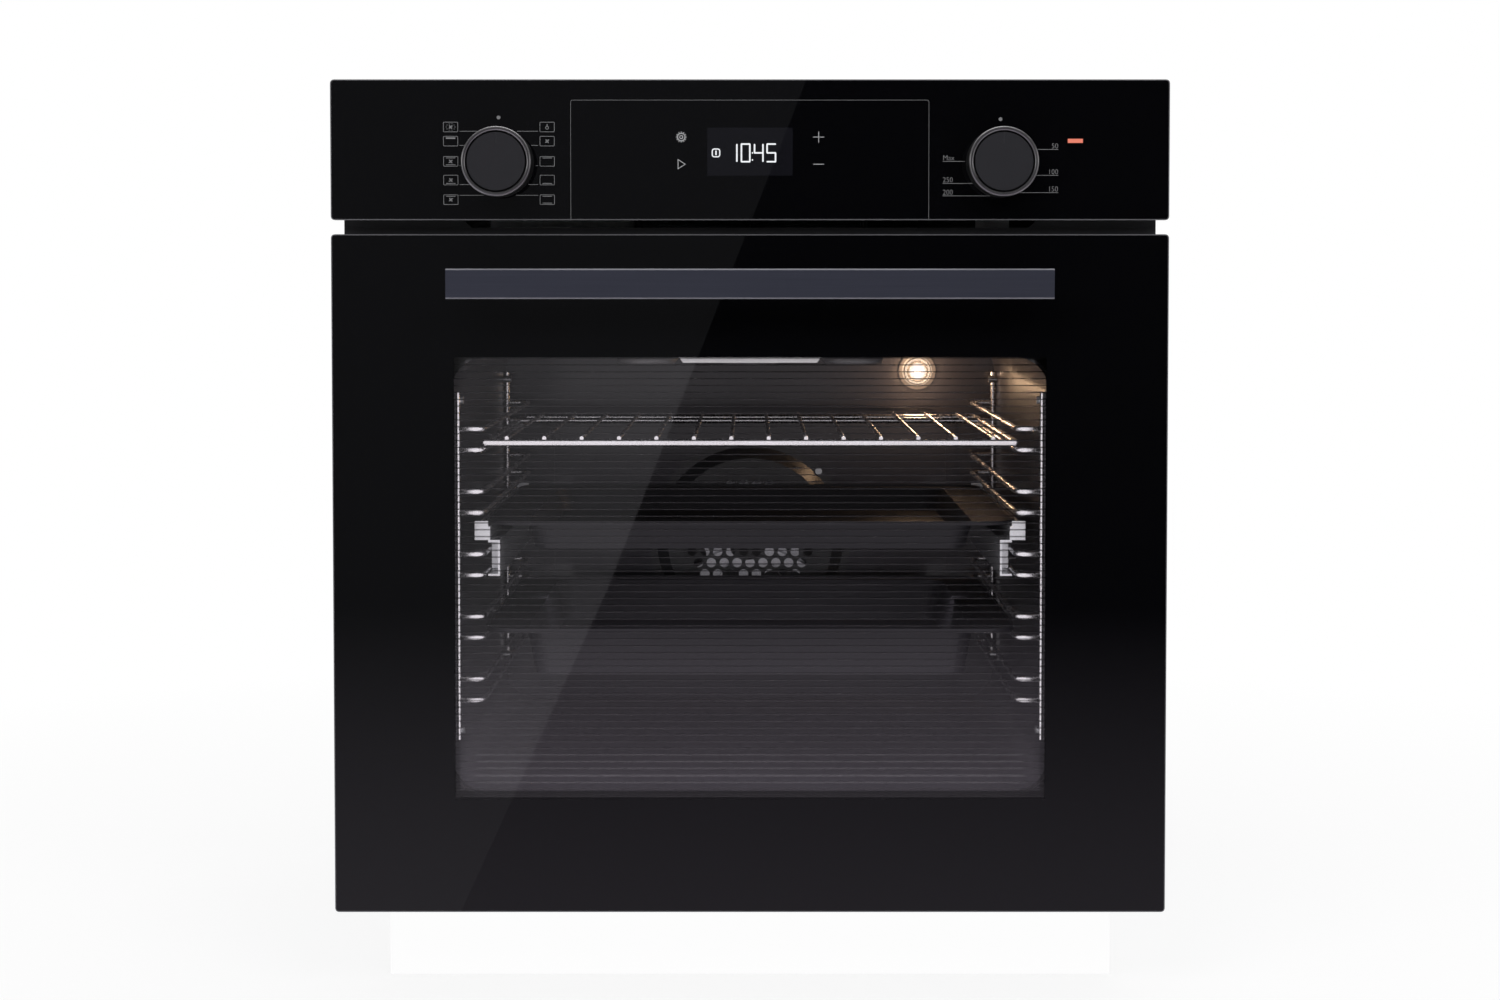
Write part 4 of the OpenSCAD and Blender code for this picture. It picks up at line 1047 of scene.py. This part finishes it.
@dataclass
class OvenDress:
    """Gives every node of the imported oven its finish, and the panes their ground edge."""

    window: Field = (-0.2112, 0.2112, 0.0853, 0.4021)
    front_tint: float = 0.97
    line_pitch: float = 0.005
    line_width: float = 0.0008
    display_half: float = 0.0303
    display_margin: float = 0.004
    arris: float = 0.7
    arris_inset: float = 0.1
    pane_corner: float = 2.5

    def _middle(self, node: str) -> Vector:
        """The middle of a node's box."""
        low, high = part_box(node)
        return (low + high) / 2

    def _display(self) -> Field:
        """Finds the field of the display on the panel's glass.

        Returns:
            Its left, right, lower and upper edge.
        """
        low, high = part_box("display_module")
        middle, half = (high.z + low.z) / 2, (high.z - low.z) / 2 - self.display_margin
        return (-self.display_half, self.display_half, middle - half, middle + half)

    def _wardrobe(self) -> list[tuple[Finish, list[str]]]:
        """Lists the finishes.

        Returns:
            Each finish with the nodes that wear it.
        """
        low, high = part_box("lamp_lens")
        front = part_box("selector_knob")[0].y
        left, right = self._middle("selector_cap"), self._middle("thermostat_cap")
        return [
            (SheetMetal(), ["base_plate", "side_panel_left", "side_panel_right", "top_cover", "rear_panel",
                            "blower_housing", "blower_wheel", "hinge_receivers", "hinge_cases"]),
            (Enamel("cavity_enamel", (0.0210, 0.0198, 0.0246), (0.057, 0.054, 0.064), 0.29),
             ["cavity_tub", "cavity_roof", "cavity_back"]),
            (Enamel("tray_enamel", (0.0108, 0.0102, 0.0124), (0.031, 0.030, 0.034), 0.36, 0.0, 0.20),
             ["baking_tray", "deep_pan"]),
            (DrawnWire("chrome_wire", (0.80, 0.79, 0.81), 0.20),
             ["rack_uprights", "rack_wires", "wire_shelf"]),
            (DrawnWire("bright_steel", (0.62, 0.63, 0.65), 0.30),
             ["rails", "runners", "hinge_arms", "hinge_pins", "fasteners",
              "lamp_socket", "selector_shaft", "thermostat_shaft"]),
            (PatchedSteel("fan_steel", self._middle("convection_fan")), ["convection_fan"]),
            (Moulded("heater_tube", (0.050, 0.046, 0.044), (0.085, 0.078, 0.072), 0.5, 0.1, 0.2),
             ["ring_heater", "floor_heater"]),
            (Moulded("black_paint", (0.010, 0.010, 0.011), (0.016, 0.016, 0.018), 0.38, 0.08),
             ["front_frame", "door_column_left", "door_column_right",
              "door_top_rail", "door_bottom_rail", "handle_posts"]),
            (Moulded("trim_paint", (0.019, 0.019, 0.022), (0.025, 0.025, 0.028), 0.45, 0.08), ["vent_trim"]),
            # The air duct is painted near-black: painted shade, so the vent slot reads dark.
            (Moulded("duct_shade_black", (0.003, 0.003, 0.003), (0.005, 0.005, 0.005), 0.8, 0.1), ["air_duct"]),
            (Moulded("black_plastic", (0.014, 0.014, 0.015), (0.022, 0.022, 0.024), 0.5, 0.15),
             ["panel_housing", "display_module", "terminal_box"]),
            (Moulded("bracket_steel", (0.66, 0.66, 0.66), (0.78, 0.78, 0.78), 0.35, 0.1, 0.3),
             ["roof_bracket"]),
            (Moulded("grill_tube", (0.15, 0.145, 0.15), (0.19, 0.185, 0.19), 0.5, 0.1, 0.2),
             ["grill_heater"]),
            (Moulded("fan_cover_enamel", (0.022, 0.023, 0.026), (0.034, 0.035, 0.038), 0.30, 0.08),
             ["fan_cover"]),
            (Moulded("motor_paint", (0.20, 0.21, 0.23), (0.30, 0.31, 0.33), 0.45, 0.1, 0.4),
             ["fan_motor", "blower_motor"]),
            (Moulded("switch_plastic", (0.09, 0.12, 0.15), (0.14, 0.18, 0.22), 0.5, 0.1),
             ["selector_switch", "thermostat"]),
            (Moulded("seal_rubber", (0.012, 0.012, 0.012), (0.022, 0.022, 0.022), 0.75, 0.3), ["mouth_seal"]),
            (Fleece(), ["insulation"]),
            (BrushedBar(), ["handle_bar"]),
            (PanelGlass("panel_glass", self._display()), ["control_glass"]),
            (WindowGlass("door_front_glass", self.window, self.front_tint), ["door_glass"]),
            (WindowGlass("door_middle_glass"), ["door_mid_glass"]),
            (WindowGlass("door_lined_glass", line_pitch=self.line_pitch, line_width=self.line_width),
             ["door_inner_glass"]),
            (KnobBody("left_knob_body", left, front), ["selector_knob"]),
            (KnobBody("right_knob_body", right, front), ["thermostat_knob"]),
            (SatinFace("left_knob_face", left), ["selector_cap"]),
            (SatinFace("right_knob_face", right), ["thermostat_cap"]),
            (LampLens("lamp_lens_light", (low + high) / 2, (high.x - low.x) / 2), ["lamp_lens"]),
            (Glow("bulb_light", (1.0, 0.85, 0.62), 4.0), ["lamp_bulb"]),
            (Glow("pilot_light", (1.0, 0.27, 0.18), 0.60, 0.2), ["pilot_lens"]),
        ]

    def build(self) -> None:
        """Puts the finishes on the nodes, and the ground edges on the panes."""
        for finish, nodes in self._wardrobe():
            material = finish.material()
            for node in nodes:
                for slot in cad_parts[node].material_slots:
                    slot.material = material
                LOG.info("%s wears %s", node, finish.name)
        ground = Moulded("ground_edge", (0.070, 0.069, 0.075), (0.081, 0.080, 0.087), 0.45, 0.05).material()
        self._arris("panel_glass_edge", "control_glass", ground, Body.OVEN)
        self._arris("door_glass_edge", "door_glass", ground, Body.DOOR)

    def _arris(self, name: str, pane: str, finish: bpy.types.Material, body: Body) -> None:
        """Lays the ground edge round the front of a pane.

        Args:
            name: the piece's name.
            pane: the pane's node.
            finish: the edge's material.
            body: the body that the pane is on.
        """
        low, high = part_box(pane)
        edge = Stencil(name, low.y)
        centre = ((low.x + high.x) / 2 / MM, (low.z + high.z) / 2 / MM)
        size = ((high.x - low.x) / MM - self.arris_inset, (high.z - low.z) / MM - self.arris_inset)
        edge.frame(centre, size, self.arris, self.pane_corner)
        edge.piece(finish, body)


# ---- Studio ----


@dataclass(frozen=True)
class SoftBox:
    """A rectangular lamp that the camera doesn't see: its place, aim and size in metres, and its watts."""

    name: str
    place: Place
    aim: Place
    size: Point
    power: float
    mirrored: bool = True

    def build(self) -> None:
        """Puts the lamp in the scene."""
        data = bpy.data.lights.new(self.name, "AREA")
        data.shape = "RECTANGLE"
        data.size, data.size_y = self.size
        data.energy = self.power
        lamp = bpy.data.objects.new(self.name, data)
        lamp.location = self.place
        lamp.rotation_euler = (Vector(self.aim) - Vector(self.place)).to_track_quat("-Z", "Y").to_euler()
        lamp.visible_camera = False
        lamp.visible_glossy = self.mirrored
        bpy.context.scene.collection.objects.link(lamp)


@dataclass
class Studio:
    """Floor, plinth, reflection cards, lamps, world and camera, in metres and watts."""

    distance: float = 1.780
    eye: float = 0.4606
    lens: float = 60.1
    sensor: float = 36.0
    tilt: float = 2.23
    shift: float = -0.085
    grey: float = 0.34
    floor_z: float = -0.060
    floor_half: float = 30.0
    white_from: float = 0.45
    white_run: float = 0.9
    plinth_inset: Point = (0.02, 0.03)
    card_half: float = 2.2
    card_y: float = -2.60
    card_top: float = 1.10
    card_near: float = 0.10
    cool: Colour = (0.96, 0.97, 1.0)
    foot_tint: Colour = (0.97, 0.88, 1.03)
    shade_edge: float = -0.0141
    shade_slant: float = 0.391
    foot_run: float = 2.14
    close_run: float = 0.24
    mouth_y: float = -0.2135
    bulb_power: float = 0.27
    bulb_radius: float = 0.012
    bulb_colour: Colour = (1.0, 0.66, 0.36)

    def __post_init__(self) -> None:
        """Finds the front glass."""
        low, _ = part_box("door_glass")
        self.front = low.y

    def build(self) -> None:
        """Builds the studio."""
        self._camera()
        self._world()
        self._floor()
        self._plinth()
        self._cards()
        self._lamps()
        self._bulb()

    def _camera(self) -> None:
        """The camera: straight in front, at the handle's height, tilted a little down."""
        data = bpy.data.cameras.new("camera")
        data.sensor_width = self.sensor
        data.lens = self.lens
        data.shift_y = self.shift
        eye = bpy.data.objects.new("camera", data)
        eye.location = (0.0, self.front - self.distance, self.eye)
        eye.rotation_euler = (math.radians(90 - self.tilt), 0, 0)
        bpy.context.scene.collection.objects.link(eye)
        bpy.context.scene.camera = eye

    def _world(self) -> None:
        """A white world for what sees it, and an even grey light."""
        recipe = Recipe("studio", world=True)
        seen = recipe.math("MAXIMUM", recipe.ray("Camera"), recipe.ray("Glossy"))
        seen = recipe.math("MAXIMUM", seen, recipe.ray("Transmission"))
        sockets = {"Value": seen, "To Min": self.grey, "To Max": 1.0}
        strength = recipe.signal("MapRange", None, sockets)
        light = recipe.signal("Background", None, {"Color": WHITE, "Strength": strength})
        bpy.context.scene.world = recipe.finish(light)

    def _sheet(self, name: str, half: float, near: Point, far: Point,
               finish: bpy.types.Material) -> bpy.types.Object:
        """A flat stage piece that runs as wide to the left as to the right.

        Args:
            name: the piece's name.
            half: its half width.
            near: the Y and Z of one long edge.
            far: the Y and Z of the other.
            finish: its material.

        Returns:
            The piece.
        """
        mesh = bmesh.new()
        corners = [(-half, *near), (half, *near), (half, *far), (-half, *far)]
        mesh.faces.new([mesh.verts.new(corner) for corner in corners])
        thing = new_piece(name, mesh, finish)
        return thing

    def _pale(self, name: str, share: float) -> bpy.types.Material:
        """A pale paper that the camera sees as nearly white, and far away as wholly white.

        Args:
            name: the material's name.
            share: how white it is near the oven, from 0 to 1.

        Returns:
            The material.
        """
        recipe = Recipe(name)
        x, y, _ = recipe.place()
        away = (recipe.length(x, y) - self.white_from) / self.white_run
        fade = recipe.math("MINIMUM", recipe.math("MAXIMUM", away), 1.0)
        seen = recipe.ray("Camera") * (share + fade * (1.0 - share))
        flat = recipe.signal("BsdfDiffuse", None, {"Color": (0.86, 0.86, 0.86, 1)})
        return recipe.finish(recipe.over(seen, flat, recipe.emission(WHITE)))

    def _floor(self) -> None:
        """The floor."""
        far, z = self.floor_half, self.floor_z
        self._sheet("floor", far, (-far, z), (far, z), self._pale("floor_paper", 0.85))

    def _plinth(self) -> None:
        """The stand under the body, set back so that the open door clears it."""
        low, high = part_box("base_plate")
        across, deep = self.plinth_inset
        size = (high.x - low.x - across, high.y - low.y - deep, -self.floor_z, 1)
        middle = ((low.x + high.x) / 2, (low.y + high.y) / 2 + 0.01, self.floor_z / 2)
        mesh = bmesh.new()
        bmesh.ops.create_cube(mesh, size=1.0, matrix=Matrix.Translation(middle) @ Matrix.Diagonal(size))
        thing = new_piece("plinth", mesh, self._pale("plinth_paper", 0.97))

    def _shade(self) -> bpy.types.Material:
        """The shade of the dark cards: dark, paler left of a slanted edge and towards the oven's foot.

        Returns:
            The material.
        """
        recipe = Recipe("card_shade")
        x, y, z = recipe.place()
        reach = 1.0 + (self.front - self.card_y) / self.distance
        left = x / reach < (z - self.eye) / reach * self.shade_slant + self.shade_edge
        foot = recipe.math("MAXIMUM", 1.0 - (self.front - y) / self.foot_run) ** 1.3
        close = ((self.front - y) < self.close_run) * 0.9
        lying = z < self.floor_z + 0.003
        wall = recipe.colours("SCALE", {0: self.cool, "Scale": left * 0.095 + 0.006 + lying * close})
        ground = recipe.colours("SCALE", {0: self.foot_tint, "Scale": lying * foot * 0.44})
        return recipe.finish(recipe.emission(recipe.colours("ADD", {0: wall, 1: ground})))

    def _cards(self) -> None:
        """Cards that only reflections see: one opposite the glass, one above it and one on the floor."""
        top, floor, near = self.card_top, self.floor_z + 0.002, self.front - self.card_near
        shade = self._shade()
        sky = Recipe("sky_shade")
        across, _, _ = sky.place()
        level = sky.colours("SCALE", {0: self.cool, "Scale": 0.11 - across.size() * 0.02})
        even = sky.finish(sky.emission(level))
        for name, start, end, finish in (
            ("front_card", (self.card_y, floor), (self.card_y, top), shade),
            ("sky_card", (self.card_y, top), (near + 0.05, top + 0.1), even),
            ("floor_card", (self.card_y, floor), (near, floor), shade),
        ):
            card = self._sheet(name, self.card_half, start, end, finish)
            card.visible_camera = False
            card.visible_diffuse = False
            card.visible_shadow = False
            card.visible_transmission = False
            card.visible_volume_scatter = False

    def _lamps(self) -> None:
        """Soft boxes in front, above and behind, and weak ones inside the cavity."""
        middle, mouth = (0.0, -0.1, 0.3), self.mouth_y
        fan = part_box("convection_fan")[0].y - 0.004
        for box in (
            SoftBox("key_box", (-0.8, -2.0, 1.55), middle, (1.3, 0.7), 26.0, False),
            SoftBox("fill_box", (0.9, -2.0, 1.50), middle, (1.2, 0.7), 20.0, False),
            SoftBox("mouth_light", (0.0, mouth, 0.2437), (0.0, 0.2, 0.2437), (0.415, 0.310), 0.55),
            SoftBox("mouth_low_light", (0.0, mouth, 0.118), (0.0, 0.1, 0.03), (0.40, 0.06), 0.12, False),
            SoftBox("fan_light", (0.0, fan, 0.2150), (0.0, 0.3, 0.2150), (0.11, 0.07), 0.0078),
            SoftBox("pan_light", (0.0, 0.0, 0.200), (0.0, 0.06, 0.125), (0.34, 0.03), 0.26, False),
            SoftBox("top_box", (0.0, -0.2, 2.1), middle, (1.6, 1.2), 9.0),
            SoftBox("rear_box", (0.6, 2.0, 1.6), middle, (1.6, 1.2), 20.0),
        ):
            box.build()

    def _bulb(self) -> None:
        """The light of the oven's own lamp, just in front of its lens."""
        low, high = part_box("lamp_lens")
        data = bpy.data.lights.new("oven_lamp", "POINT")
        data.energy = self.bulb_power
        data.shadow_soft_size = self.bulb_radius
        data.color = self.bulb_colour
        lamp = bpy.data.objects.new("oven_lamp", data)
        lamp.location = ((low.x + high.x) / 2, low.y - 0.02, (low.z + high.z) / 2)
        bpy.context.scene.collection.objects.link(lamp)


def main() -> None:
    """Builds the looks of the oven and its studio."""
    logging.basicConfig(level=logging.INFO, format="%(message)s")
    bpy.context.scene.view_settings.view_transform = "Standard"
    OvenDress().build()
    ControlPanel().build()
    Studio().build()


if __name__ == "__main__":
    main()
